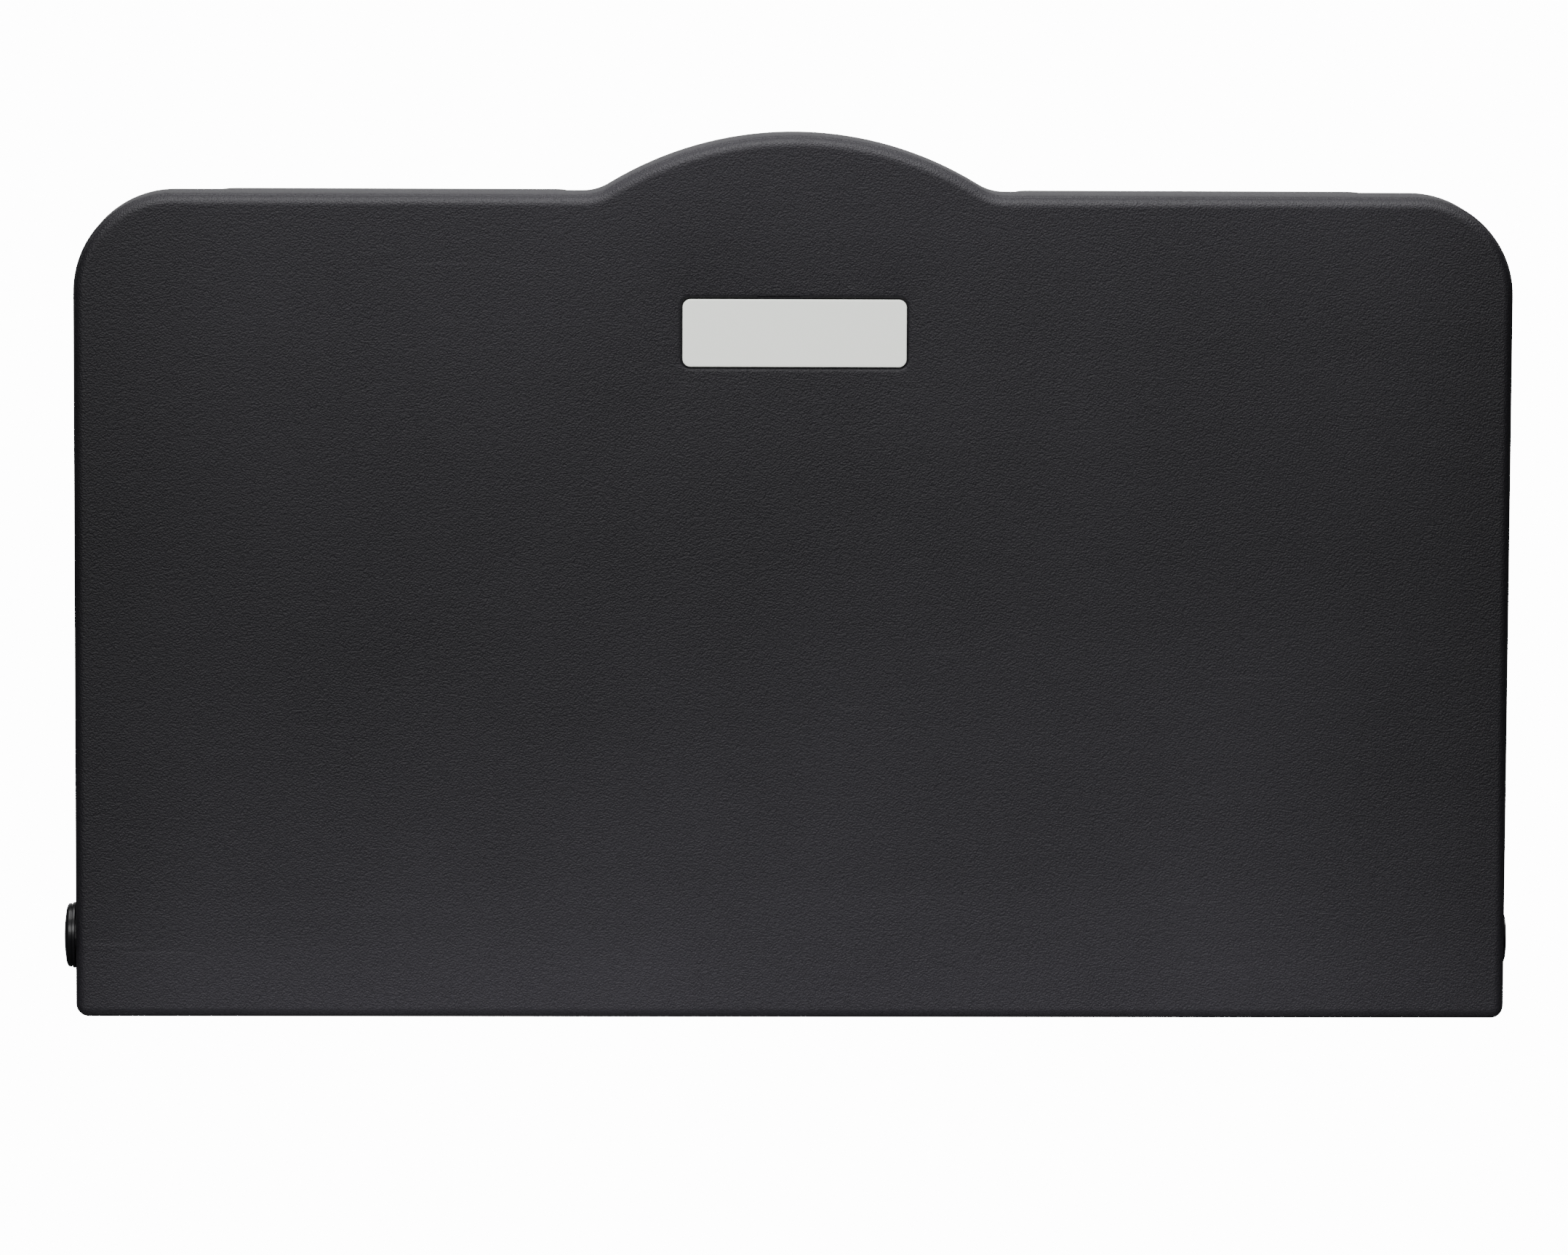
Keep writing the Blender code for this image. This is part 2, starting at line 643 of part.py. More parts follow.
def make_wall_shell():
    """The moulded tray behind the door: a broad hollow rim round a flat floor."""
    bm = bmesh.new()
    front = -UNIT_DEPTH
    outer = [(RIM_ROUND * (1 - math.cos(a)), front + RIM_ROUND * (1 - math.sin(a)))
             for a in (math.radians(30 * step) for step in range(4))]
    inner = [(UNIT_RIM - inset, y) for inset, y in reversed(outer)]
    _, floor = stacked(bm, unit_corners(), [(0, 0)] + outer + inner + [(UNIT_RIM, FLOOR_Y)])
    bm.faces.new(floor)
    shell = add_surface("wall_shell", bm, CHARCOAL, (0, -1, 0), UNIT_WALL)
    room = PLATE_HALF_WIDTH + 0.001
    cut_box(
        shell, "plate_passage",
        (-room, -(PLATE_THICK + GAP), up(UNIT_LOW - 0.01)), (room, 0.01, up(UNIT_LOW + UNIT_WALL + 0.010)),
    )
    for side, tag in ((-1, "left"), (1, "right")):
        for row, height in zip(("lower", "upper"), STUD_HOLE_HEIGHTS):
            at = (side * STUD_SPACING / 2, 0, up(height))
            cut_hole(shell, f"stud_hole_{row}_{tag}", "Y", -0.02, 0.01, at, 0.006)
            BACK_PLATE_HOLES.append((at, STUD_HOLE_RADIUS))
            at = (side * 0.335, 0, up(height))
            cut_hole(shell, f"screw_hole_{row}_{tag}", "Y", -0.02, 0.01, at, 0.0028, 12)
            screw(f"shell_screw_{row}_{tag}", at, FLOOR_Y - GAP, -GAP, 0.0024, 0.005, None)
            BACK_PLATE_HOLES.append((at, 0.0028))
    return shell


def make_back_plate():
    plate = box(
        "back_plate",
        (-PLATE_HALF_WIDTH, -PLATE_THICK, up(PLATE_LOW)), (PLATE_HALF_WIDTH, 0, up(PLATE_HIGH)),
        STEEL,
    )
    for number, (at, radius) in enumerate(BACK_PLATE_HOLES):
        cut_hole(plate, f"plate_hole_{number}", "Y", -0.02, 0.02, at, radius, 16)
    return plate


def make_stops():
    """The steel angle that the open bed bears up against, its rubber pads, and the shut door's bumpers."""
    back = -(PLATE_THICK + GAP)
    ledge_low, ledge_high = up(0.0763), up(0.0790)
    angle = box("stop_angle", (-0.380, -0.042, ledge_low), (0.380, back, ledge_high), STEEL)
    add_box(angle, "angle_leg", (-0.330, back - 0.0027, up(0.050)), (0.330, back, ledge_high))
    for side, tag in ((-1, "left"), (1, "right")):
        ends = sorted((side * 0.345, side * 0.315))
        box(
            f"open_stop_pad_{tag}",
            (ends[0], -0.041, up(0.0733)), (ends[1], -0.031, ledge_low - GAP), RUBBER,
        )
        for row, height in (("lower", 0.135), ("upper", 0.435)):
            at = (side * (UNIT_HALF_WIDTH - UNIT_RIM / 2), 0, up(height))
            cylinder(
                f"closing_bumper_{row}_{tag}", "Y", -UNIT_DEPTH - GAP, DOOR_REAR + GAP, at, 0.0035,
                RUBBER, sides=16,
            )


def make_hooks():
    """Bag hooks on the wall unit's floor: a back plate and an arm that turns up at its tip."""
    back = FLOOR_Y - GAP
    arm_low, arm_high, tip = up(0.318), up(0.323), up(0.345)
    for side, tag in ((-1, "left"), (1, "right")):
        x = side * 0.275
        outline = [(back - 0.002, arm_low), (-0.038, arm_low)]
        outline += arc((-0.038, arm_low + 0.006), 0.006, 270, 180, 3)[1:]
        outline += [(-0.044, tip), (-0.039, tip), (-0.039, arm_high + 0.003), (-0.036, arm_high)]
        outline += [(back - 0.002, arm_high)]
        outline.reverse()
        hook = prism(f"bag_hook_{tag}", "YZ", outline, x - 0.008, x + 0.008, STEEL)
        add_box(hook, f"hook_back_{tag}", (x - 0.014, back - 0.003, up(0.300)), (x + 0.014, back, up(0.362)))
        at = (x, 0, up(0.352))
        cut_hole(hook, f"hook_hole_{tag}", "Y", -0.03, 0.01, at, 0.0026, 12)
        screw(f"hook_screw_{tag}", at, back - 0.003 - GAP, back - GAP, 0.0022, 0.0045, None)


def make_label():
    box(
        "instruction_label",
        (-0.345, FLOOR_Y - GAP - 0.0006, up(0.150)), (-0.225, FLOOR_Y - GAP, up(0.245)), LABEL,
    )


# Liner dispenser


LID_PIN = Vector((0, LID_PIN_Y, up(LID_PIN_HEIGHT)))
LOCK_AT = Vector((0, LOCK_Y, up(BOX_HIGH)))
LID = pivot_empty("lid_pivot", LID_PIN)
LOCK = pivot_empty("lock_pivot", LOCK_AT)


def make_dispenser():
    """An open-topped box with a slot in its front, and a stack of folded paper liners in it."""
    half, rear = BOX_HALF_WIDTH, FLOOR_Y - GAP
    bin_box = box("dispenser_box", (-half, BOX_FRONT, up(BOX_LOW)), (half, rear, up(BOX_HIGH)), CHARCOAL)
    cut_box(
        bin_box, "box_hollow",
        (-half + BOX_WALL, BOX_FRONT + BOX_WALL, up(BOX_LOW + BOX_WALL)),
        (half - BOX_WALL, rear - BOX_WALL, up(BOX_HIGH + 0.01)),
    )
    slot = rounded_box(0.070, up(0.218), up(0.252), 0.0165)
    cut(bin_box, prism("liner_slot", "XZ", slot, BOX_FRONT - 0.01, BOX_FRONT + 0.01, None, cutter=True))
    cut_box(
        bin_box, "cam_slot",
        (-0.006, BOX_FRONT + 0.0009, up(0.3570)), (0.006, BOX_FRONT + BOX_WALL + 0.001, up(0.3625)),
    )
    for side, tag in ((-1, "left"), (1, "right")):
        ends = sorted((side * 0.121, side * 0.139))
        add_box(
            bin_box, f"knuckle_post_{tag}",
            (ends[0], LID_PIN_Y - 0.0034, up(BOX_HIGH - 0.004)), (ends[1], rear, up(BOX_HIGH + 0.008)),
        )
        cut_hole(
            bin_box, f"post_bore_{tag}", "X", ends[0] - 0.002, ends[1] + 0.002, LID_PIN,
            LID_PIN_RADIUS + 0.0004, 12,
        )
    cylinder("lid_hinge_pin", "X", -0.138, 0.138, LID_PIN, LID_PIN_RADIUS, ZINC, sides=12)
    box(
        "liner_stack",
        (-0.128, BOX_FRONT + BOX_WALL + 0.003, up(BOX_LOW + BOX_WALL) + GAP),
        (0.128, rear - BOX_WALL - 0.002, up(0.338)), PAPER, rounding=0.004,
    )


def make_lid():
    """The dispenser's lid, which turns up about a pin at its rear edge."""
    low, high = up(BOX_HIGH) + GAP, up(BOX_HIGH) + GAP + LID_THICK
    lid = box(
        "dispenser_lid",
        (-BOX_HALF_WIDTH, BOX_FRONT - 0.0015, low), (BOX_HALF_WIDTH, -0.0163, high), CHARCOAL, LID,
    )
    for side, tag in ((-1, "left"), (1, "right")):
        ends = sorted((side * 0.060, side * 0.1205))
        add_box(lid, f"lid_web_{tag}", (ends[0], -0.0173, low), (ends[1], LID_PIN_Y, up(LID_PIN_HEIGHT)))
        knuckle = cylinder(
            f"lid_knuckle_{tag}", "X", ends[0], ends[1], LID_PIN, KNUCKLE_RADIUS, None,
            sides=16, cutter=True,
        )
        cut(lid, knuckle, "UNION")
        relief = sorted((side * 0.1207, side * (BOX_HALF_WIDTH + 0.001)))
        cut_box(lid, f"post_relief_{tag}", (relief[0], -0.0195, low - 0.001), (relief[1], -0.0160, high + 0.001))
    cut_hole(lid, "lid_bore", "X", -0.15, 0.15, LID_PIN, LID_PIN_RADIUS + 0.0004, 12)
    cut_hole(lid, "lock_hole", "Z", low - 0.01, high + 0.01, LOCK_AT, 0.0068, 20)


def make_lock():
    """A cam lock through the lid: its housing stays with the lid, its plug and cam turn a quarter."""
    top = up(BOX_HIGH) + GAP + LID_THICK
    base = LOCK_AT.z
    turned(
        "lock_housing", "Z",
        [(top + GAP - base, 0.0043), (top - 0.0145 - base, 0.0043), (top - 0.0145 - base, 0.0065),
         (top + GAP - base, 0.0065), (top + GAP - base, 0.0090), (top + 0.0016 - base, 0.0090),
         (top + 0.0021 - base, 0.0082), (top + 0.0021 - base, 0.0043)],
        LOCK_AT, CHROME, LID, steps=20,
    )
    plug = turned_solid(
        "lock_plug", "Z",
        [(top - 0.0155 - base, 0.0038), (top + 0.0019 - base, 0.0038)],
        LOCK_AT, CHROME, LOCK, steps=20,
    )
    cut_box(plug, "key_slot", (-0.0028, LOCK_Y - 0.0005, top - 0.004), (0.0028, LOCK_Y + 0.0005, top + 0.01))
    cam_top = top - 0.0155 - GAP
    outline = arc((0, LOCK_Y), 0.0050, 90, 270, 8)
    outline += arc((0.0125, LOCK_Y), 0.0033, -80, 80, 5)
    prism("lock_cam", "XY", outline, cam_top - 0.002, cam_top, ZINC, LOCK)


# Safety strap


BUCKLE = pivot_empty("buckle_pivot", (0, TUB_FLOOR, up(STRAP_HEIGHT)))


def band(x_anchor, x_buckle):
    """A strap half seen from above: it climbs from its anchor to the buckle's middle."""
    low = TUB_FLOOR + 0.0024
    high = TUB_FLOOR + 0.0072
    third = (x_buckle - x_anchor) / 3
    line = [(x_anchor, low), (x_anchor + third, low), (x_buckle - third, high), (x_buckle, high)]
    if x_anchor > x_buckle:
        line.reverse()
    return line + [(x, y + STRAP_THICK) for x, y in reversed(line)]


def make_strap():
    """Anchors, webbing and a side-release buckle across the middle of the bed."""
    middle, half = up(STRAP_HEIGHT), STRAP_WIDTH / 2
    seat = TUB_FLOOR + GAP
    for side, tag in ((-1, "left"), (1, "right")):
        inner, outer = side * (ANCHOR_X - 0.012), side * (ANCHOR_X + 0.012)
        low, high = sorted((inner, outer))
        anchor = box(
            f"strap_anchor_{tag}", (low, seat, middle - 0.025), (high, seat + 0.005, middle + 0.025),
            NYLON, DOOR,
        )
        at = (side * (ANCHOR_X + 0.003), 0, middle)
        cut_hole(anchor, f"anchor_hole_{tag}", "Y", seat - 0.01, seat + 0.02, at, 0.0026, 12)
        screw(
            f"anchor_screw_{tag}", at, seat + 0.005 + GAP, seat + GAP, 0.0022, 0.0045, DOOR,
        )
    slide = BUCKLE_SPLIT
    prism(
        "strap_left", "XY", band(-ANCHOR_X + 0.0123, -0.0333), middle - half, middle + half,
        WEBBING, DOOR,
    )
    prism(
        "strap_right", "XY", band(ANCHOR_X - 0.0123, 0.0383), middle - half, middle + half,
        WEBBING, DOOR,
    )
    low, high = TUB_FLOOR + 0.0015, BUCKLE_REAR
    socket = box(
        "buckle_socket", (-0.033, low, middle - 0.023), (slide, high, middle + 0.023), NYLON, DOOR,
        rounding=0.003,
    )
    cut_box(
        socket, "socket_mouth",
        (-0.024, low + 0.0025, middle - 0.0185), (slide + 0.01, high - 0.0025, middle + 0.0185),
    )
    plug = box(
        "buckle_plug", (slide + 0.0005, low + 0.0010, middle - 0.022), (0.038, high - 0.0010, middle + 0.022),
        NYLON, BUCKLE, rounding=0.002,
    )
    add_box(
        plug, "plug_prongs",
        (-0.022, low + 0.0035, middle - 0.0170), (slide + 0.003, high - 0.0035, middle + 0.0170),
    )
    cut_box(
        plug, "prong_gap",
        (-0.015, low, middle - 0.0105), (slide - 0.002, high, middle - 0.0030),
    )
    cut_box(
        plug, "prong_gap_upper",
        (-0.015, low, middle + 0.0030), (slide - 0.002, high, middle + 0.0105),
    )


make_front_shell()
make_name_plate()
make_bed_shell()
make_side_fittings()
make_bearing_blocks()
make_shaft()
make_springs()
make_brackets()
make_wall_shell()
make_back_plate()
make_stops()
make_hooks()
make_label()
make_dispenser()
make_lid()
make_lock()
make_strap()
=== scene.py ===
"""A fold-down baby changing station, shut, dressed for a studio view.

X runs along the hinge, the wall is the plane y = 0 with the station in front of it at negative y,
and +Z is up. Heights in the dataclasses are measured from the bed door's lower edge.
"""

import json
import logging
import math
from dataclasses import dataclass, field
from enum import Enum
from functools import wraps
from typing import Callable, Iterable, Iterator, Optional, Sequence

import bmesh
import bpy
from bmesh.types import BMesh, BMVert
from mathutils import Matrix, Vector


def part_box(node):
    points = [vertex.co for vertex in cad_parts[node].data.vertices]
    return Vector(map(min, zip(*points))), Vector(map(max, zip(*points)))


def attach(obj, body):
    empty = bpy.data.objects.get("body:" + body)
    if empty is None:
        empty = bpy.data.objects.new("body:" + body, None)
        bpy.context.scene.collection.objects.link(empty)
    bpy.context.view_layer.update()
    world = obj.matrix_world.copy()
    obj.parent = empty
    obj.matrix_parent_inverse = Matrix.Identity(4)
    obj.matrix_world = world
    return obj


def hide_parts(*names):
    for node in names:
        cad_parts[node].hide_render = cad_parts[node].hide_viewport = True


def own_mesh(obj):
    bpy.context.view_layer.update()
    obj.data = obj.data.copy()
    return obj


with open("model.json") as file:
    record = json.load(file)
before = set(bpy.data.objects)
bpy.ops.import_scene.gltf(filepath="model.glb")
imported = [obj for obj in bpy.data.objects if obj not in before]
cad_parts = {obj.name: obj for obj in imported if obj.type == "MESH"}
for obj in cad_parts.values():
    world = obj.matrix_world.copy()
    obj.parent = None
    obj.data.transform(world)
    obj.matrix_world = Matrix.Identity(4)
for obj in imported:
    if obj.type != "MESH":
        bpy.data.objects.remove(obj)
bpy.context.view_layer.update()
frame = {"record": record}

LOG = logging.getLogger("changing_station")
ORIGIN_HEIGHT = 0.155
DOOR_HEIGHT = 0.537
DOOR_HALF_WIDTH = 0.435
GAP = 0.0003


class Body(str, Enum):
    """The rigid bodies that pieces ride on."""

    WALL = "wall_unit"
    DOOR = "door"
    LID = "lid"
    LOCK = "lock"
    PLUG = "buckle_plug"


class Axis(Enum):
    """The direction that a turned piece's axis runs in."""

    X = Vector((1, 0, 0))
    Y = Vector((0, 1, 0))
    Z = Vector((0, 0, 1))


def up(height: float) -> float:
    """The z of a point this far above the door's lower edge."""
    return height - ORIGIN_HEIGHT


# Finishes


class Nodes:
    """A short way to add and link shader nodes in one tree."""

    def __init__(self, tree: bpy.types.NodeTree) -> None:
        """Keeps the tree that the nodes go into."""
        self.tree = tree

    def add(self, kind: str, **settings: object) -> bpy.types.Node:
        """Adds a node.

        Args:
            kind: the node's type.
            settings: input sockets by name with their values or with the sockets that feed them, or the
                node's own options.

        Returns:
            The new node.
        """
        node = self.tree.nodes.new(kind)
        for label, value in settings.items():
            if isinstance(value, bpy.types.NodeSocket):
                self.link(value, node.inputs[label])
            elif label in node.inputs:
                node.inputs[label].default_value = value
            else:
                setattr(node, label, value)
        return node

    def group(self, tree: bpy.types.NodeTree, **settings: object) -> bpy.types.Node:
        """Places a shared effect with its own values and sources."""
        return self.add("ShaderNodeGroup", node_tree=tree, **settings)

    def link(self, source: bpy.types.NodeSocket, target: bpy.types.NodeSocket) -> None:
        """Joins two sockets."""
        self.tree.links.new(source, target)

    def place(self, kind: str = "Object") -> bpy.types.NodeSocket:
        """The coordinates that a texture is read at."""
        return self.add("ShaderNodeTexCoord").outputs[kind]

    def stretched(self, place: bpy.types.NodeSocket, by: bpy.types.NodeSocket) -> bpy.types.NodeSocket:
        """Coordinates multiplied part by part with a vector."""
        node = self.add("ShaderNodeVectorMath", operation="MULTIPLY")
        self.link(place, node.inputs[0])
        self.link(by, node.inputs[1])
        return node.outputs["Vector"]

    def shaded(self, colour: bpy.types.NodeSocket, factor: bpy.types.NodeSocket) -> bpy.types.NodeSocket:
        """A colour multiplied by a factor, and its result."""
        grey = self.add("ShaderNodeCombineColor", Red=factor, Green=factor, Blue=factor).outputs["Color"]
        tint = self.add(
            "ShaderNodeMix", data_type="RGBA", blend_type="MULTIPLY", Factor=1.0, A=colour, B=grey
        )
        return tint.outputs["Result"]

    def maths(self, operation: str, first: object, second: object = 0.0) -> bpy.types.NodeSocket:
        """A Math node on two sockets or numbers, and its result."""
        node = self.add("ShaderNodeMath", operation=operation)
        for slot, value in enumerate((first, second)):
            if isinstance(value, bpy.types.NodeSocket):
                self.link(value, node.inputs[slot])
            else:
                node.inputs[slot].default_value = float(value)
        return node.outputs[0]


ORIGIN = (0.0, 0.0, 0.0)
SOCKET_OF_SIZE = {1: "NodeSocketFloat", 3: "NodeSocketVector", 4: "NodeSocketColor"}
Sockets = dict[str, bpy.types.NodeSocket]


def effect(name: str, outputs: Sequence[str] = ("Height",), **inputs: object) -> Callable:
    """Makes a function that fills a node group into one that returns the group, built once.

    Args:
        name: the group's name.
        outputs: the group's outputs, of which Color is a colour and the others are numbers.
        inputs: the group's inputs with their default values.

    Returns:
        The decorator.
    """
    def shared(fill: Callable[[Nodes, Sockets], Sockets]) -> Callable[[], bpy.types.NodeTree]:
        """Wraps the function that makes the nodes between the inputs and the outputs."""
        @wraps(fill)
        def group() -> bpy.types.NodeTree:
            """Finds the group, or makes it."""
            if name in bpy.data.node_groups:
                return bpy.data.node_groups[name]
            tree = bpy.data.node_groups.new(name, "ShaderNodeTree")
            for label, value in inputs.items():
                kind = SOCKET_OF_SIZE[len(value) if isinstance(value, tuple) else 1]
                tree.interface.new_socket(name=label, in_out="INPUT", socket_type=kind).default_value = value
            for label in outputs:
                kind = SOCKET_OF_SIZE[4 if label == "Color" else 1]
                tree.interface.new_socket(name=label, in_out="OUTPUT", socket_type=kind)
            start, end = tree.nodes.new("NodeGroupInput"), tree.nodes.new("NodeGroupOutput")
            for label, socket in fill(Nodes(tree), {label: start.outputs[label] for label in inputs}).items():
                tree.links.new(socket, end.inputs[label])
            return tree
        return group
    return shared


@effect("pebble_grain", Vector=ORIGIN, Scale=700.0, Pores=0.35)
def grain_group(nodes: Nodes, given: Sockets) -> Sockets:
    """A leather-like grain: small pebbles with finer pores. Its Height feeds a Bump."""
    place, scale = given["Vector"], given["Scale"]
    wobble = nodes.add("ShaderNodeTexNoise", Vector=place, Scale=scale, Detail=2.0)
    cells = nodes.add("ShaderNodeTexVoronoi", feature="SMOOTH_F1", Vector=place, Scale=scale, Smoothness=0.6)
    finer = nodes.maths("MULTIPLY", scale, 3.1)
    pores = nodes.add("ShaderNodeTexNoise", Vector=place, Scale=finer, Detail=3.0, Roughness=0.7)
    pebbles = nodes.maths("SUBTRACT", wobble.outputs["Fac"], cells.outputs["Distance"])
    fine = nodes.maths("MULTIPLY", pores.outputs["Fac"], given["Pores"])
    return {"Height": nodes.maths("ADD", pebbles, fine)}


@effect("mottled_tone", ("Color", "Fac"), Vector=ORIGIN, Color=(1.0,) * 4, Broad=6.0, Fine=500.0, Amount=0.2)
def tone_group(nodes: Nodes, given: Sockets) -> Sockets:
    """Uneven tone: a broad cloud and a fine speck over a base colour."""
    place = given["Vector"]
    broad, fine = (
        nodes.add("ShaderNodeTexNoise", Vector=place, Scale=given[label], Detail=detail)
        for label, detail in (("Broad", 2.0), ("Fine", 3.0))
    )
    both = nodes.maths("ADD", broad.outputs["Fac"], fine.outputs["Fac"])
    scaled = nodes.maths("MULTIPLY", nodes.maths("SUBTRACT", both, 1.0), given["Amount"])
    return {"Color": nodes.shaded(given["Color"], nodes.maths("ADD", scaled, 1.0)), "Fac": both}


@effect("scuff_marks", ("Mask",), Vector=ORIGIN, Length=9.0, Spacing=260.0, Sparse=0.72)
def scuff_group(nodes: Nodes, given: Sockets) -> Sockets:
    """Fine scratches and rubbed patches. Its Mask is 0 on clean surface and 1 in a scratch."""
    place, spacing = given["Vector"], given["Spacing"]
    stretch = nodes.add("ShaderNodeCombineXYZ", X=given["Length"], Y=spacing, Z=spacing)
    longer = nodes.stretched(place, stretch.outputs["Vector"])
    lines = nodes.add("ShaderNodeTexNoise", Vector=longer, Scale=1.0, Detail=1.0)
    patches = nodes.add("ShaderNodeTexNoise", Vector=place, Scale=9.0, Detail=3.0)
    raised = nodes.maths("ADD", patches.outputs["Fac"], 0.5)
    joined = nodes.maths("MULTIPLY", lines.outputs["Fac"], raised)
    sharp = nodes.maths("MULTIPLY", nodes.maths("SUBTRACT", joined, given["Sparse"]), 14.0)
    sharp.node.use_clamp = True
    return {"Mask": sharp}


@effect("drawn_lines", Vector=ORIGIN, Stretch=(1.0, 1.0, 1.0))
def line_group(nodes: Nodes, given: Sockets) -> Sockets:
    """Fine drawn lines along one direction, for plated and drawn steel."""
    longer = nodes.stretched(given["Vector"], given["Stretch"])
    lines = nodes.add("ShaderNodeTexNoise", Vector=longer, Scale=1.0, Detail=4.0, Roughness=0.6)
    return {"Height": lines.outputs["Fac"]}


@effect("webbing_weave", Vector=ORIGIN, Ribs=1100.0, Picks=650.0)
def weave_group(nodes: Nodes, given: Sockets) -> Sockets:
    """The ribs and picks of woven webbing, read from a UV map in metres."""
    parts = nodes.add("ShaderNodeSeparateXYZ", Vector=given["Vector"])
    ribs, picks = (
        nodes.maths("MULTIPLY", nodes.maths("MULTIPLY", parts.outputs[part], given[label]), 2 * math.pi)
        for label, part in (("Ribs", "Y"), ("Picks", "X"))
    )
    over = nodes.maths("SINE", nodes.maths("MULTIPLY", ribs, 0.5))
    crossing = nodes.maths("MULTIPLY", nodes.maths("SINE", picks), over)
    return {"Height": nodes.maths("ADD", crossing, nodes.maths("ABSOLUTE", nodes.maths("SINE", ribs)))}



def parts_of(material: bpy.types.Material) -> tuple[Nodes, bpy.types.Node]:
    """A material's node helper and its main shader."""
    return Nodes(material.node_tree), material.node_tree.nodes["Principled BSDF"]


@dataclass(frozen=True)
class Finish:
    """A plain moulded, painted or plated surface with its own texture."""

    name: str
    colour: tuple[float, float, float]
    roughness: float
    metallic: float = 0.0
    coat: float = 0.0
    specular: float = 0.5
    tone: float = 0.15
    broad: float = 6.0
    fine: float = 500.0
    rough_spread: float = 0.06
    grain: float = 0.0
    grain_scale: float = 700.0
    pores: float = 0.35
    scuff: float = 0.0
    scuff_sparse: float = 0.72
    lines: Optional[tuple[float, float, float]] = None
    line_depth: float = 0.0

    def material(self) -> bpy.types.Material:
        """The material, made the first time it is asked for."""
        found = bpy.data.materials.get(self.name)
        return found if found else self._build()

    def _build(self) -> bpy.types.Material:
        """Makes the material's nodes.

        Returns:
            The new material.
        """
        material = bpy.data.materials.new(self.name)
        material.use_nodes = True
        nodes, shader = parts_of(material)
        for label, value in (
            ("Metallic", self.metallic), ("Specular IOR Level", self.specular),
            ("Coat Weight", self.coat), ("Coat Roughness", 0.08),
        ):
            shader.inputs[label].default_value = value
        place = nodes.place()
        tone = nodes.group(
            tone_group(), Vector=place, Color=(*self.colour, 1), Broad=self.broad, Fine=self.fine,
            Amount=self.tone,
        )
        colour = tone.outputs["Color"]
        spread = nodes.maths("SUBTRACT", tone.outputs["Fac"], 1.0)
        rough = nodes.maths("ADD", nodes.maths("MULTIPLY", spread, self.rough_spread), self.roughness)
        if self.scuff:
            colour, rough = self._scuffed(nodes, place, colour, rough)
        nodes.link(colour, shader.inputs["Base Color"])
        nodes.link(rough, shader.inputs["Roughness"])
        height = self._height(nodes, place)
        if height:
            bump = nodes.add(
                "ShaderNodeBump", Strength=1.0, Distance=max(self.grain, self.line_depth), Height=height
            )
            nodes.link(bump.outputs["Normal"], shader.inputs["Normal"])
        return material

    def _scuffed(
        self, nodes: Nodes, place: bpy.types.NodeSocket, colour: bpy.types.NodeSocket,
        rough: bpy.types.NodeSocket,
    ) -> tuple[bpy.types.NodeSocket, bpy.types.NodeSocket]:
        """Adds scratches that lighten and dull the surface.

        Args:
            nodes: the material's node helper.
            place: the coordinates.
            colour: the clean colour.
            rough: the clean roughness.

        Returns:
            The scuffed colour and roughness.
        """
        marks = nodes.group(scuff_group(), Vector=place, Sparse=self.scuff_sparse)
        amount = nodes.maths("MULTIPLY", marks.outputs["Mask"], self.scuff)
        pale = (*[min(1.0, c * 2.2 + 0.02) for c in self.colour], 1)
        mixed = nodes.add("ShaderNodeMix", data_type="RGBA", Factor=amount, A=colour, B=pale)
        return mixed.outputs["Result"], nodes.maths("ADD", rough, nodes.maths("MULTIPLY", amount, 0.12))

    def _height(self, nodes: Nodes, place: bpy.types.NodeSocket) -> Optional[bpy.types.NodeSocket]:
        """The height that a Bump reads, or None on a polished surface."""
        if self.lines:
            return nodes.group(line_group(), Vector=place, Stretch=self.lines).outputs["Height"]
        if self.grain:
            grain = nodes.group(grain_group(), Vector=place, Scale=self.grain_scale, Pores=self.pores)
            return grain.outputs["Height"]
        return None


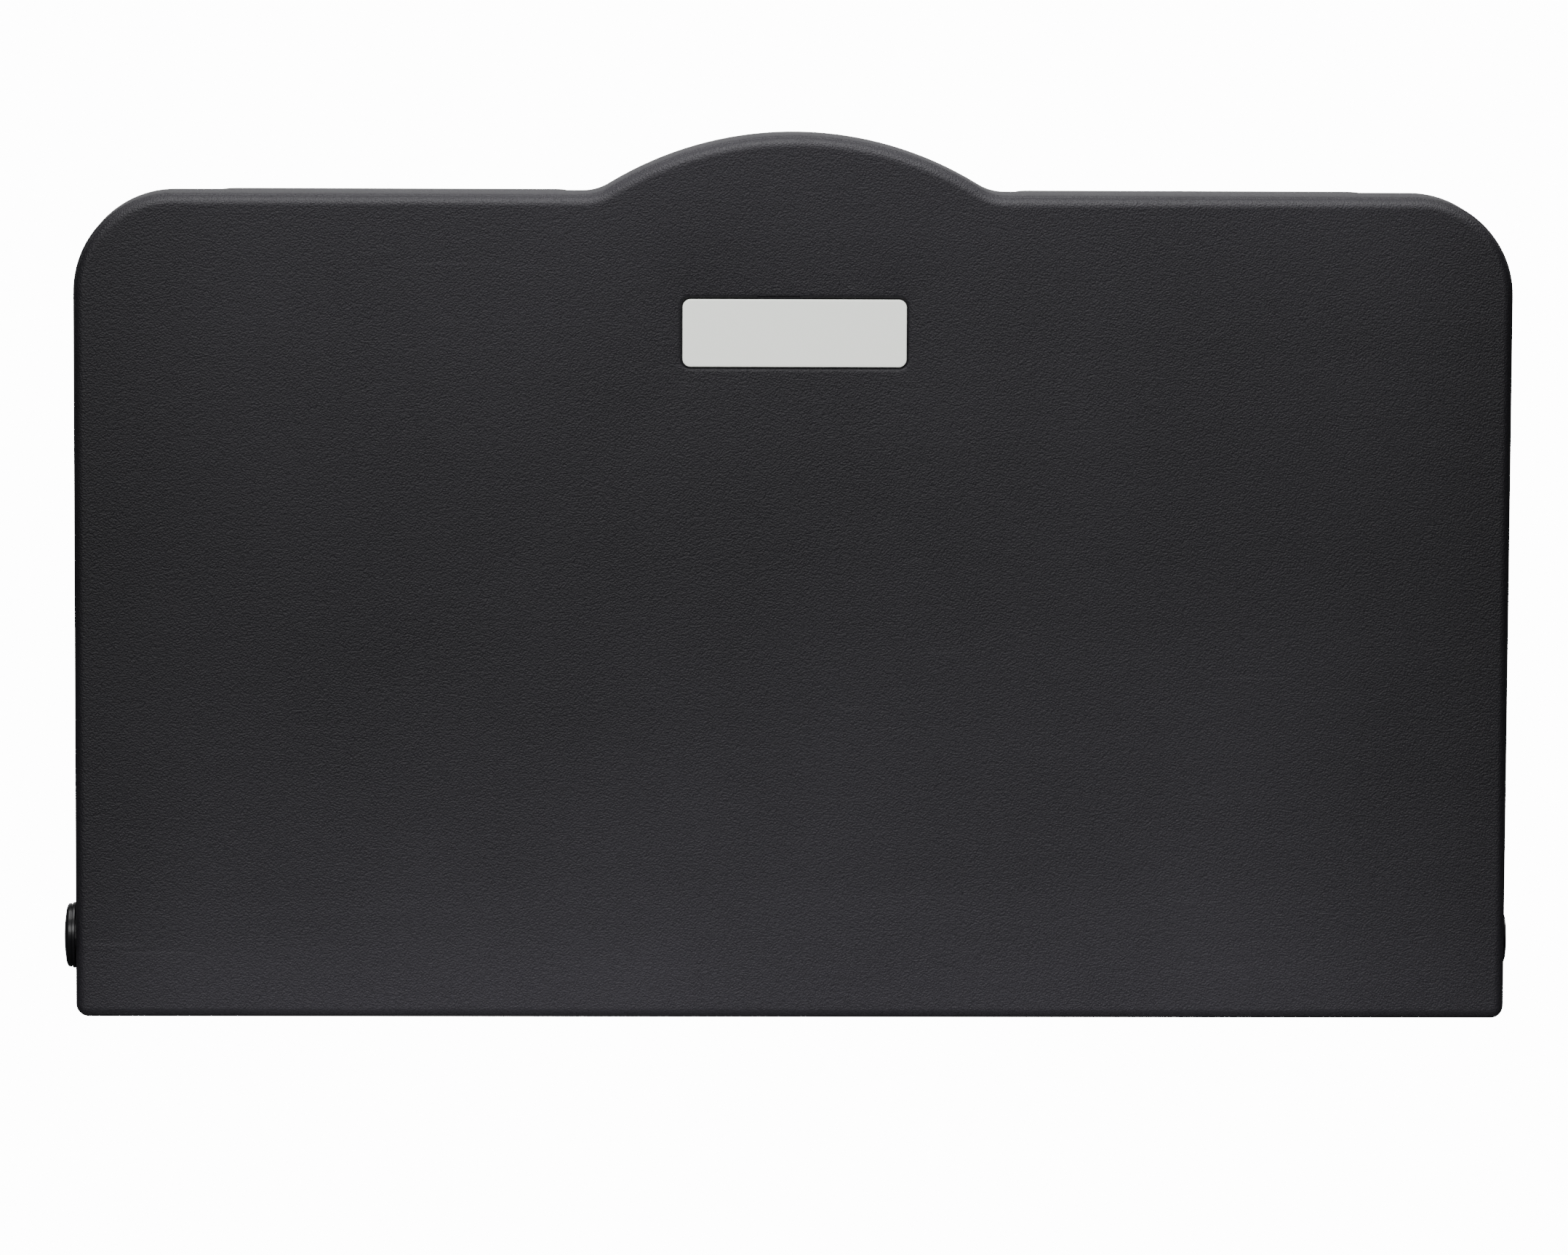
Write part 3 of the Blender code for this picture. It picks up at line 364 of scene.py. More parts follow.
@dataclass(frozen=True)
class ShellFinish(Finish):
    """Charcoal polyethylene: pebble grain, moulding streaks, and painted light and shade over it, paler at
    the foot and top and darker at both ends.
    """

    streak: float = 0.10
    # The fade switches on painted light and shade and sets how dark the painted shade at both ends is; the
    # stops paint brighter light at the foot and the top.
    painted_light_fade: float = 0.0
    painted_light_stops: tuple[tuple[float, float], ...] = (
        (0.0, 2.2), (0.16, 1.45), (0.42, 0.84), (0.64, 0.86), (0.86, 1.16), (1.0, 1.3),
    )

    def _build(self) -> bpy.types.Material:
        """Adds faint level streaks to the grained plastic, and the painted light and shade where it is set.

        Returns:
            The new material.
        """
        material = super()._build()
        nodes, shader = parts_of(material)
        place = nodes.place()
        flow = nodes.group(line_group(), Vector=place, Stretch=(1.6, 30.0, 42.0))
        around = nodes.maths("SUBTRACT", flow.outputs["Height"], 0.5)
        factor = nodes.maths("ADD", nodes.maths("MULTIPLY", around, self.streak * 2), 1.0)
        # Painted light and shade, multiplied into the colour.
        if self.painted_light_fade:
            factor = nodes.maths("MULTIPLY", factor, self._painted_light(nodes, place))
        source = shader.inputs["Base Color"].links[0].from_socket
        nodes.link(nodes.shaded(source, factor), shader.inputs["Base Color"])
        return material

    def _painted_light(self, nodes: Nodes, place: bpy.types.NodeSocket) -> bpy.types.NodeSocket:
        """Painted light and shade over the moulding: painted light at the foot and at the top, painted shade
        at both ends.

        Args:
            nodes: the material's node helper.
            place: the coordinates.

        Returns:
            A factor for the colour that paints the light and shade.
        """
        parts = nodes.add("ShaderNodeSeparateXYZ", Vector=place)
        rise = nodes.maths("DIVIDE", nodes.maths("SUBTRACT", parts.outputs["Z"], up(0.0)), DOOR_HEIGHT)
        painted_rise_ramp = nodes.add("ShaderNodeValToRGB", Fac=rise)
        painted_rise_ramp.color_ramp.interpolation = "B_SPLINE"
        ramp = painted_rise_ramp.color_ramp.elements
        for number, (stop, value) in enumerate(self.painted_light_stops):
            point = ramp[number] if number < 2 else ramp.new(stop)
            point.position = stop
            point.color = (value / 2, value / 2, value / 2, 1)
        end = nodes.maths("DIVIDE", nodes.maths("ABSOLUTE", parts.outputs["X"]), DOOR_HALF_WIDTH)
        outer = nodes.maths("POWER", nodes.maths("MINIMUM", end, 1.0), 5.0)
        shade = nodes.maths("SUBTRACT", 1.0, nodes.maths("MULTIPLY", outer, self.painted_light_fade))
        return nodes.maths("MULTIPLY", nodes.maths("MULTIPLY", painted_rise_ramp.outputs["Color"], 2.0), shade)


@dataclass(frozen=True)
class WebbingFinish(Finish):
    """Woven nylon webbing that follows the strap's own UV map."""

    ribs: float = 900.0
    picks: float = 520.0

    def _build(self) -> bpy.types.Material:
        """Makes the woven material.

        Returns:
            The new material.
        """
        material = super()._build()
        nodes, shader = parts_of(material)
        weave = nodes.group(weave_group(), Vector=nodes.place("UV"), Ribs=self.ribs, Picks=self.picks)
        bump = nodes.add("ShaderNodeBump", Strength=0.9, Distance=0.0003, Height=weave.outputs["Height"])
        nodes.link(bump.outputs["Normal"], shader.inputs["Normal"])
        shader.inputs["Sheen Weight"].default_value = 0.25
        return material


@dataclass(frozen=True)
class LabelFinish(Finish):
    """A pale film with plain grey bars printed on it."""

    ink: tuple[float, float, float] = (0.16, 0.18, 0.20)

    def _build(self) -> bpy.types.Material:
        """Prints rows of bars over the film.

        Returns:
            The new material.
        """
        material = super()._build()
        nodes, shader = parts_of(material)
        turned = nodes.add("ShaderNodeMapping", Vector=nodes.place(), Rotation=(math.radians(90), 0, 0))
        bars = nodes.add("ShaderNodeTexBrick", offset=0.35, Vector=turned.outputs["Vector"], Scale=60.0, **{
            "Color1": (*self.ink, 1), "Color2": (*[c * 1.3 for c in self.ink], 1),
            "Mortar": (*self.colour, 1), "Mortar Size": 0.15, "Mortar Smooth": 0.02,
            "Brick Width": 1.9, "Row Height": 0.42,
        })
        nodes.link(bars.outputs["Color"], shader.inputs["Base Color"])
        return material


# The door face carries painted light and shade: paler at the foot and the top, darker at both ends.
SHELL = ShellFinish(
    "charcoal_polyethylene", (0.0120, 0.0112, 0.0138), 0.50, specular=0.21, tone=0.70, broad=5.0, fine=800.0,
    rough_spread=0.10, grain=0.00036, grain_scale=1000.0, scuff=0.12, scuff_sparse=0.80, painted_light_fade=0.42,
)
TRAY = ShellFinish(
    "charcoal_polyethylene_tray", (0.0165, 0.0158, 0.0180), 0.46, specular=0.4, tone=0.15, broad=7.0,
    fine=700.0, rough_spread=0.08, grain=0.00014, grain_scale=620.0, scuff=0.1, scuff_sparse=0.82,
    streak=0.05,
)
SATIN_CAP = Finish(
    "satin_black_cap", (0.0045, 0.0045, 0.0052), 0.36, coat=0.05, specular=0.16, tone=0.3, rough_spread=0.05,
    grain=0.00002, grain_scale=1500.0, scuff=0.25, scuff_sparse=0.8,
)
NYLON = Finish(
    "black_nylon", (0.011, 0.011, 0.012), 0.42, tone=0.25, grain=0.00008, grain_scale=1800.0, scuff=0.2,
)
PLATE = Finish(
    "pale_plate_film", (0.88, 0.905, 0.845), 0.42, tone=0.035, broad=18.0, fine=900.0, rough_spread=0.05,
    grain=0.00003, grain_scale=2200.0,
)
PAINT = Finish(
    "grey_powder_coat", (0.060, 0.060, 0.064), 0.45, specular=0.5, tone=0.2, grain=0.00010,
    grain_scale=1300.0, pores=0.6, scuff=0.35,
)
ZINC = Finish(
    "zinc_plate", (0.60, 0.60, 0.585), 0.30, metallic=1.0, tone=0.12, broad=40.0, fine=900.0,
    rough_spread=0.14, lines=(60.0, 1900.0, 1900.0), line_depth=0.00004,
)
SPRING_STEEL = Finish(
    "oiled_spring_steel", (0.17, 0.165, 0.16), 0.32, metallic=1.0, tone=0.3, broad=60.0, fine=700.0,
    rough_spread=0.15, lines=(900.0, 900.0, 900.0), line_depth=0.00004,
)
RUBBER = Finish(
    "black_rubber", (0.012, 0.012, 0.012), 0.78, specular=0.3, tone=0.25, broad=40.0, grain=0.00008,
    grain_scale=2400.0, pores=0.8,
)
CHROME = Finish(
    "polished_chrome", (0.78, 0.785, 0.79), 0.09, metallic=1.0, tone=0.04, broad=50.0, rough_spread=0.05,
    lines=(300.0, 300.0, 1200.0), line_depth=0.00001,
)
PAPER = Finish(
    "crepe_liner_paper", (0.80, 0.815, 0.82), 0.92, specular=0.2, tone=0.05, broad=30.0, fine=1200.0,
    lines=(1500.0, 240.0, 60.0), line_depth=0.00025,
)
LABEL = LabelFinish("label_film", (0.70, 0.715, 0.72), 0.38, tone=0.02)
WEBBING = WebbingFinish("nylon_webbing", (0.013, 0.013, 0.0145), 0.78, specular=0.3, tone=0.25, fine=1500.0)

FINISH_OF_SLOT = {
    "shell": TRAY, "gloss_cap": SATIN_CAP, "nylon": NYLON, "name_plate": PLATE, "label": LABEL,
    "painted_steel": PAINT, "zinc_steel": ZINC, "spring_steel": SPRING_STEEL, "chrome": CHROME,
    "rubber": RUBBER, "webbing": WEBBING, "liner_paper": PAPER,
}
SLOT_OF_NODE = {entry["node"]: entry["material_slot"] for entry in frame["record"]["subparts"]}


# Mesh making


@dataclass(frozen=True)
class Corner:
    """A corner of an outline seen from the front, with its rounding."""

    x: float
    height: float
    radius: float


def mirrored(corners: Sequence[Corner]) -> list[Corner]:
    """Right-hand corners from the bottom up, then the same ones on the left from the top down."""
    return list(corners) + [Corner(-c.x, c.height, c.radius) for c in reversed(corners) if abs(c.x) > 1e-6]


def quarter(steps: int, first: int = 0) -> Iterator[tuple[float, float]]:
    """The sine and cosine at even steps through a right angle."""
    for step in range(first, steps + 1):
        angle = math.radians(90 * step / steps)
        yield math.sin(angle), math.cos(angle)


def pairs(loop: Sequence[BMVert]) -> list[tuple[BMVert, BMVert]]:
    """The neighbours round a closed loop."""
    return list(zip(loop, list(loop[1:]) + [loop[0]]))


def ring_of(bm: BMesh, corners: Sequence[Corner], y: float, sag: float = 0.00003) -> list[BMVert]:
    """A closed loop of wire through rounded corners, each arc spun about its own centre.

    Args:
        bm: the mesh to add to.
        corners: the outline's corners in order.
        y: the depth that the loop lies at.
        sag: how far a straight step may lie inside its arc.

    Returns:
        The loop's vertices in order.
    """
    points = [Vector((c.x, y, up(c.height))) for c in corners]
    loop: list[BMVert] = []
    for number, corner in enumerate(corners):
        here, before, after = points[number], points[number - 1], points[(number + 1) % len(points)]
        back, forth = (before - here).normalized(), (after - here).normalized()
        turn = math.pi - back.angle(forth)
        start = bm.verts.new(here + back * corner.radius * math.tan(turn / 2))
        centre = here + (back + forth).normalized() * corner.radius / math.cos(turn / 2)
        axis = (-back).cross(forth).normalized()
        steps = max(3, math.ceil(turn / (2 * math.acos(1 - sag / corner.radius))))
        bmesh.ops.spin(
            bm, geom=[start], cent=centre, axis=axis, dvec=(0, 0, 0), angle=turn, steps=steps,
            use_duplicate=False,
        )
        arc, seen = [start], {start}
        while True:
            more = [e.other_vert(arc[-1]) for e in arc[-1].link_edges if e.other_vert(arc[-1]) not in seen]
            if not more:
                break
            arc.append(more[0])
            seen.add(more[0])
        if loop:
            bm.edges.new((loop[-1], arc[0]))
        loop += arc
    bm.edges.new((loop[-1], loop[0]))
    return loop


def inward_ways(loop: Sequence[BMVert]) -> list[Vector]:
    """How each vertex of a loop moves when the outline shrinks by one unit, square to both its edges."""
    flat = [Vector((v.co.x, v.co.z)) for v in loop]
    following = flat[1:] + flat[:1]
    area = sum(here.x * after.y - after.x * here.y for here, after in zip(flat, following))
    sense = 1 if area > 0 else -1
    alongs = [(after - here).normalized() for here, after in zip(flat, following)]
    normals = [Vector((-along.y, along.x)) * sense for along in alongs]
    ways = []
    for i, second in enumerate(normals):
        first = normals[i - 1]
        way = (first + second) / (1 + first.dot(second))
        ways.append(Vector((way.x, 0, way.y)))
    return ways


def loft(bm: BMesh, loop: list[BMVert], stations: Sequence[tuple[float, float]]) -> list[BMVert]:
    """Extrudes a loop through stations of its own outline.

    Args:
        bm: the mesh to add to.
        loop: the first loop.
        stations: (inset from the first loop, y) for each next loop.

    Returns:
        The last loop.
    """
    ways, places = inward_ways(loop), [v.co.copy() for v in loop]
    for inset, y in stations:
        edges = [bm.edges.get(pair) for pair in pairs(loop)]
        made = bmesh.ops.extrude_edge_only(bm, edges=edges)["geom"]
        fresh = {v for v in made if isinstance(v, BMVert)}
        loop = [next(e.other_vert(v) for e in v.link_edges if e.other_vert(v) in fresh) for v in loop]
        for vert, place, way in zip(loop, places, ways):
            vert.co = place + way * inset
            vert.co.y = y
    return loop


def close(bm: BMesh, loop: Sequence[BMVert]) -> None:
    """Fills a loop with one flat face."""
    bmesh.ops.contextual_create(bm, geom=[bm.edges.get(pair) for pair in pairs(loop)])


def fill_between(bm: BMesh, outer: Sequence[BMVert], inner: Sequence[BMVert]) -> None:
    """Fills the flat band between two loops."""
    edges = [bm.edges.get(pair) for pair in pairs(outer)] + [bm.edges.get(pair) for pair in pairs(inner)]
    bmesh.ops.triangle_fill(bm, edges=edges, use_beauty=True, use_dissolve=False)


def face_way(bm: BMesh, way: Vector) -> None:
    """Turns an open surface so that its widest face looks along way."""
    bmesh.ops.recalc_face_normals(bm, faces=bm.faces)
    bm.normal_update()
    widest = max(bm.faces, key=lambda face: face.calc_area())
    if widest.normal.dot(way) < 0:
        bmesh.ops.reverse_faces(bm, faces=bm.faces)
    bm.normal_update()


def box_mesh(low: Sequence[float], high: Sequence[float]) -> BMesh:
    """A box between two corners."""
    bm = bmesh.new()
    bmesh.ops.create_cube(bm, size=1.0)
    low_corner, high_corner = Vector(low), Vector(high)
    bmesh.ops.scale(bm, vec=high_corner - low_corner, verts=bm.verts)
    bmesh.ops.translate(bm, vec=(low_corner + high_corner) / 2, verts=bm.verts)
    return bm


def turned_mesh(
    profile: Sequence[tuple[float, float]], centre: Vector, axis: Axis, steps: int = 64, closed: bool = False
) -> BMesh:
    """A piece turned about an axis.

    Args:
        profile: (position along the axis, radius) from one end to the other.
        centre: a point on the axis, from which the positions are counted.
        axis: the direction of the axis.
        steps: how many facets go round.
        closed: whether the profile is a closed section, such as a ring's.

    Returns:
        The turned mesh.
    """
    bm = bmesh.new()
    along = axis.value
    out = Vector((0, 0, 1)) if axis is not Axis.Z else Vector((1, 0, 0))
    verts = [bm.verts.new(centre + along * at + out * radius) for at, radius in profile]
    chain = list(zip(verts, verts[1:]))
    if closed:
        chain.append((verts[-1], verts[0]))
    edges = [bm.edges.new(pair) for pair in chain]
    bmesh.ops.spin(
        bm, geom=verts + edges, cent=centre, axis=along, dvec=(0, 0, 0), angle=2 * math.pi, steps=steps,
        use_merge=True, use_duplicate=False,
    )
    bmesh.ops.remove_doubles(bm, verts=bm.verts, dist=1e-6)
    bmesh.ops.recalc_face_normals(bm, faces=bm.faces)
    return bm


def drill(start: float, end: float, radius: float, centre: Vector, axis: Axis, steps: int) -> BMesh:
    """A cylinder that cuts a hole from one position along an axis to another."""
    return turned_mesh([(start, 0), (start, radius), (end, radius), (end, 0)], centre, axis, steps)


def rounded_end(
    at: float, radius: float, round_by: float, way: int, steps: int = 6
) -> list[tuple[float, float]]:
    """Profile points of a disc's rounded outer edge.

    Args:
        at: where the disc's face lies along the axis.
        radius: the disc's radius.
        round_by: the rounding's radius.
        way: 1 where the face looks along the axis, -1 where it looks back.
        steps: how many points the rounding takes.

    Returns:
        Points from the side wall to the face.
    """
    return [
        (at - way * round_by * (1 - sine), radius - round_by * (1 - cosine))
        for sine, cosine in quarter(steps)
    ]


def as_object(bm: BMesh, name: str, finish: Finish, sharp: float = 32.0) -> bpy.types.Object:
    """Makes a mesh an object at the origin.

    Args:
        bm: the finished mesh, which is freed.
        name: the piece's name.
        finish: its surface.
        sharp: the angle in degrees above which an edge stays crisp.

    Returns:
        The new object.
    """
    mesh = bpy.data.meshes.new(name)
    bm.to_mesh(mesh)
    bm.free()
    mesh.materials.append(finish.material())
    mesh.shade_smooth()
    mesh.set_sharp_from_angle(angle=math.radians(sharp))
    piece = bpy.data.objects.new(name, mesh)
    bpy.context.scene.collection.objects.link(piece)
    return piece


def settle(piece: bpy.types.Object, sharp: float = 32.0) -> bpy.types.Object:
    """Bakes a piece's modifiers into its mesh."""
    graph = bpy.context.evaluated_depsgraph_get()
    mesh = bpy.data.meshes.new_from_object(piece.evaluated_get(graph))
    piece.modifiers.clear()
    piece.data = mesh
    mesh.shade_smooth()
    mesh.set_sharp_from_angle(angle=math.radians(sharp))
    return piece


def carve(piece: bpy.types.Object, cutters: Iterable[BMesh], sharp: float = 32.0) -> bpy.types.Object:
    """Cuts shapes out of a piece.

    Args:
        piece: the piece to cut, with any modifiers it still has.
        cutters: closed meshes, which are freed.
        sharp: the angle in degrees above which an edge stays crisp.

    Returns:
        The piece with its modifiers baked.
    """
    tools = []
    for number, cutter in enumerate(cutters):
        mesh = bpy.data.meshes.new(f"{piece.name}_cutter_{number}")
        cutter.to_mesh(mesh)
        cutter.free()
        tool = bpy.data.objects.new(mesh.name, mesh)
        bpy.context.scene.collection.objects.link(tool)
        modifier = piece.modifiers.new("cut", "BOOLEAN")
        modifier.operation = "DIFFERENCE"
        modifier.object = tool
        tools.append(tool)
    bpy.context.view_layer.update()
    settle(piece, sharp)
    for tool in tools:
        bpy.data.objects.remove(tool, do_unlink=True)
    return piece


def soften(piece: bpy.types.Object, width: float, segments: int = 2, angle: float = 40.0) -> bpy.types.Object:
    """Rounds a piece's crisp edges with a live Bevel."""
    modifier = piece.modifiers.new("rounding", "BEVEL")
    modifier.width = width
    modifier.segments = segments
    modifier.limit_method = "ANGLE"
    modifier.angle_limit = math.radians(angle)
    return piece


def thicken(piece: bpy.types.Object, wall: float) -> bpy.types.Object:
    """Gives an open surface its wall, on the side away from its normals."""
    modifier = piece.modifiers.new("wall", "SOLIDIFY")
    modifier.thickness = wall
    modifier.offset = -1
    modifier.use_even_offset = True
    return piece


def from_node(node: str, finish: Finish, width: float, segments: int) -> bpy.types.Object:
    """A CAD piece with its edges rounded.

    Args:
        node: the CAD piece's name.
        finish: its surface.
        width: the rounding.
        segments: the rounding's steps.

    Returns:
        The new piece, which stands for the node and rides on the node's body.
    """
    bm = bmesh.new()
    bm.from_mesh(bpy.data.objects[node].data)
    bmesh.ops.remove_doubles(bm, verts=bm.verts, dist=2e-6)
    bmesh.ops.dissolve_limit(
        bm, angle_limit=math.radians(1.0), use_dissolve_boundaries=False, verts=bm.verts, edges=bm.edges
    )
    piece = as_object(bm, f"{node}_finished", finish)
    soften(piece, width, segments)
    return register(piece, BODY_OF_NODE[node], node)


def register(piece: bpy.types.Object, body: Body, *nodes: str) -> bpy.types.Object:
    """Sets what a piece rides on and which CAD pieces it stands for.

    Args:
        piece: the finished piece.
        body: the body that carries it.
        nodes: the CAD pieces that it replaces.

    Returns:
        The same piece.
    """
    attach(piece, body.value)
    if nodes:
        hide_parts(*nodes)
    LOG.info("%s on %s for %s", piece.name, body.value, ", ".join(nodes) or "itself")
    return piece


BODY_OF_NODE = {
    node: Body(body) for body, nodes in frame["record"]["behaviour"]["bodies"].items() for node in nodes
}


# Bed door


@dataclass
class BedDoor:
    """The blow-moulded door: its grained face with the grip hump, and the dished bed behind it."""

    half_width: float = DOOR_HALF_WIDTH
    front: float = -0.102
    rear: float = -0.052
    shoulder: float = 0.5015
    corner: float = 0.060
    foot_corner: float = 0.008
    hump_radius: float = 0.215
    hump_slope: float = 31.0
    hump_foot: float = 0.030
    hump_straight: float = 0.002
    edge_round: float = 0.007
    step: float = 0.0013
    wall: float = 0.0035
    bed_wall: float = 0.003
    tub_half_width: float = 0.376
    tub_low: float = 0.116
    tub_high: float = 0.464
    tub_corner: float = 0.070
    tub_depth: float = 0.032
    tub_slope: float = 0.060
    tub_edge: float = 0.003
    plate_height: float = 0.4185
    plate_half: tuple[float, float] = (0.0676, 0.0204)
    plate_thick: float = 0.0020
    recess_half: tuple[float, float] = (0.0684, 0.0212)
    recess_round: float = 0.0026
    recess_round_depth: float = 0.0018
    recess_depth: float = 0.0025
    pivot: Vector = field(default_factory=lambda: Vector((0, -0.077, up(0.048))))
    notch_span: tuple[float, float] = (-0.0225, 0.0030)
    mark_place: tuple[float, float] = (0.0225, 0.4495)
    ear_slot: tuple[float, float] = (0.3705, 0.3765)
    slot_reach: float = 0.016
    cap_flange: tuple[tuple[float, float], ...] = (
        (0.0, 0.0150), (0.0, 0.0198), (0.0003, 0.0201), (0.0016, 0.0201), (0.0019, 0.0197), (0.0020, 0.0190),
        (0.0026, 0.0190), (0.0027, 0.0194), (0.0036, 0.0194),
    )
    cap_bend: tuple[float, float, float] = (0.0036, 0.0178, 0.0016)
    cap_dome: float = 4.9

    def corners(self) -> list[Corner]:
        """The door's outline, with the hump in the middle of its top edge."""
        slope = math.radians(self.hump_slope)
        foot = self.hump_radius * math.sin(slope)
        foot += (self.hump_foot * math.tan(slope / 2) + self.hump_straight) * math.cos(slope)
        peak = self.shoulder + foot * math.tan(slope)
        return mirrored([
            Corner(self.half_width, 0.0, self.foot_corner),
            Corner(self.half_width, self.shoulder, self.corner),
            Corner(foot, self.shoulder, self.hump_foot),
            Corner(0.0, peak, self.hump_radius),
        ])

    def slot_boxes(self) -> list[BMesh]:
        """Cutters for the two slots that let the hinge ears into the door as it swings."""
        cutters = []
        for side in (-1, 1):
            edges = sorted((side * self.ear_slot[0], side * self.ear_slot[1]))
            cutters.append(box_mesh(
                (edges[0], self.pivot.y - self.slot_reach, up(-0.01)),
                (edges[1], self.rear + 0.01, self.pivot.z + self.slot_reach),
            ))
        return cutters

    def edge_profile(self) -> list[tuple[float, float]]:
        """The door's edge from its rear corner to its face: a flat band, a fine step and the front round."""
        start = self.front + self.edge_round
        band = [(0.0002, self.rear - 0.0003), (0.0, self.rear - 0.0008), (0.0, start + 0.0080),
                (0.0002, start + 0.0035)]
        step_back = [(0.0006, start + 0.0010), (0.0008, start + 0.0006), (self.step, start + 0.0001)]
        across = self.edge_round - self.step
        bend = [
            (self.step + across * (1 - cosine), self.front + self.edge_round * (1 - sine))
            for sine, cosine in quarter(12)
        ]
        return band + step_back + bend + [(self.edge_round + 0.0012, self.front)]

    def make_face(self) -> bpy.types.Object:
        """The outer moulding, with the name plate's recess and a small round moulding mark.

        Returns:
            The finished piece.
        """
        bm = bmesh.new()
        rim = ring_of(bm, self.corners(), self.rear)
        face = loft(bm, rim, self.edge_profile())
        lip = ring_of(bm, self._recess_corners(), self.front)
        inset, bottom = self.recess_round, self.front + self.recess_depth
        mouth = [
            (inset * sine, self.front + self.recess_round_depth * (1 - cosine))
            for sine, cosine in quarter(8, 1)
        ]
        recess = loft(bm, lip, mouth + [
            (inset, bottom - 0.0002), (inset + 0.0002, bottom), (inset + 0.0008, bottom),
        ])
        fill_between(bm, face, lip)
        close(bm, recess)
        close(bm, loft(bm, rim, [(self.wall, self.rear), (self.wall, self.front + self.wall)]))
        bmesh.ops.recalc_face_normals(bm, faces=bm.faces)
        piece = as_object(bm, "door_face", SHELL)
        cutters = self.slot_boxes()
        for side, radius in ((-1, 0.0153), (1, 0.0123)):
            ends = sorted((side * (self.half_width - 0.01), side * (self.half_width + 0.01)))
            cutters.append(drill(*ends, radius, self.pivot, Axis.X, 48))
        cutters += [self._mark_cutter(), self._notch_cutter()]
        return register(carve(piece, cutters), Body.DOOR, "front_shell")

    def _recess_corners(self) -> list[Corner]:
        """The outline of the recess's rounded mouth."""
        half_x, half_z = (half + self.recess_round for half in self.recess_half)
        low, high = self.plate_height - half_z, self.plate_height + half_z
        return mirrored([Corner(half_x, low, 0.0080), Corner(half_x, high, 0.0080)])

    def _notch_cutter(self) -> BMesh:
        """The pry notch in the recess's top edge."""
        (left, right), z = self.notch_span, up(self.plate_height + self.recess_half[1])
        return box_mesh((left, self.front - 0.001, z - 0.0008), (right, self.front + 0.0016, z + 0.0012))

    def _mark_cutter(self) -> BMesh:
        """A shallow ring groove, as an ejector pin leaves it."""
        x, height = self.mark_place
        groove = [(-0.001, 0.0040), (0.00025, 0.0042), (0.00025, 0.0046), (-0.001, 0.0048)]
        return turned_mesh(groove, Vector((x, self.front, up(height))), Axis.Y, 48, True)

    def make_bed(self) -> bpy.types.Object:
        """The inner moulding: a flat rim and a dished bed that faces the wall when shut.

        Returns:
            The finished piece.
        """
        bm = bmesh.new()
        outline = ring_of(bm, self.corners(), self.rear)
        rim = loft(bm, outline, [(self.wall + GAP, self.rear)])
        bmesh.ops.delete(bm, geom=outline, context="VERTS")
        edge = self.tub_edge
        half, corner = self.tub_half_width + edge, self.tub_corner + edge
        lip = ring_of(bm, mirrored([
            Corner(half, self.tub_low - edge, corner), Corner(half, self.tub_high + edge, corner),
        ]), self.rear)
        stations = [(edge * sine, self.rear - edge * (1 - cosine)) for sine, cosine in quarter(5, 1)]
        for step in range(1, 17):
            angle = math.radians(6 + 84 * step / 16)
            inset = edge + self.tub_slope * (1 - math.cos(angle))
            stations.append((inset, self.rear - self.tub_depth * math.sin(angle)))
        floor = loft(bm, lip, stations + [(self.tub_slope + 0.006, self.rear - self.tub_depth)])
        fill_between(bm, rim, lip)
        close(bm, floor)
        face_way(bm, Vector((0, 1, 0)))
        piece = thicken(as_object(bm, "dished_bed", TRAY), self.bed_wall)
        return register(carve(piece, self.slot_boxes()), Body.DOOR, "bed_shell")

    def make_name_plate(self) -> bpy.types.Object:
        """A blank pale plate with a crisp rounded edge, let into the face.

        Returns:
            The finished piece.
        """
        half_x, half_z = self.plate_half
        back = self.front + self.recess_depth - GAP
        face = back - self.plate_thick
        bm = bmesh.new()
        rear = ring_of(bm, mirrored([
            Corner(half_x, self.plate_height - half_z, 0.0048),
            Corner(half_x, self.plate_height + half_z, 0.0048),
        ]), back)
        front = loft(bm, rear, [
            (0.0, face + 0.0005), (0.00015, face + 0.00015), (0.0005, face), (0.0012, face),
        ])
        close(bm, rear)
        close(bm, front)
        bmesh.ops.recalc_face_normals(bm, faces=bm.faces)
        return register(as_object(bm, "blank_name_plate", PLATE), Body.DOOR, "name_plate")

    def make_side_caps(self) -> list[bpy.types.Object]:
        """The domed round cap over the damper on the left, and the low cap on the right.

        Returns:
            Both caps.
        """
        lip, face = self.half_width + GAP, self.half_width + 0.0074
        cap = [(-face + 0.0020, 0.0), (-face + 0.0020, 0.0150)]
        cap += [(-lip - out, radius) for out, radius in self.cap_flange]
        out, centre, bend = self.cap_bend
        for step in range(1, 7):
            angle = math.radians(70 * step / 6)
            cap.append((-lip - out - bend * math.sin(angle), centre + bend * math.cos(angle)))
        for radius in (0.0165, 0.0145, 0.0120, 0.0090, 0.0055, 0.0025):
            cap.append((-face + self.cap_dome * radius * radius, radius))
        cap.append((-face, 0.0))
        left = as_object(turned_mesh(cap, self.pivot, Axis.X, 96), "hinge_cap_left", SATIN_CAP, 40)
        low = [(0.4325, 0.0), (0.4325, 0.0058), (lip, 0.0058), (lip, 0.0150)]
        low += [(self.half_width + out, radius) for out, radius in (
            (0.0008, 0.0150), (0.0011, 0.0147), (0.0013, 0.0141), (0.0013, 0.0),
        )]
        right = as_object(turned_mesh(low, self.pivot, Axis.X, 72), "hinge_cap_right", SATIN_CAP, 40)
        return [register(left, Body.DOOR, "hub_cap"), register(right, Body.DOOR, "side_cap_right")]

    def build(self) -> None:
        """Makes the whole door."""
        self.make_face()
        self.make_name_plate()
        self.make_bed()
        self.make_side_caps()


# Wall unit


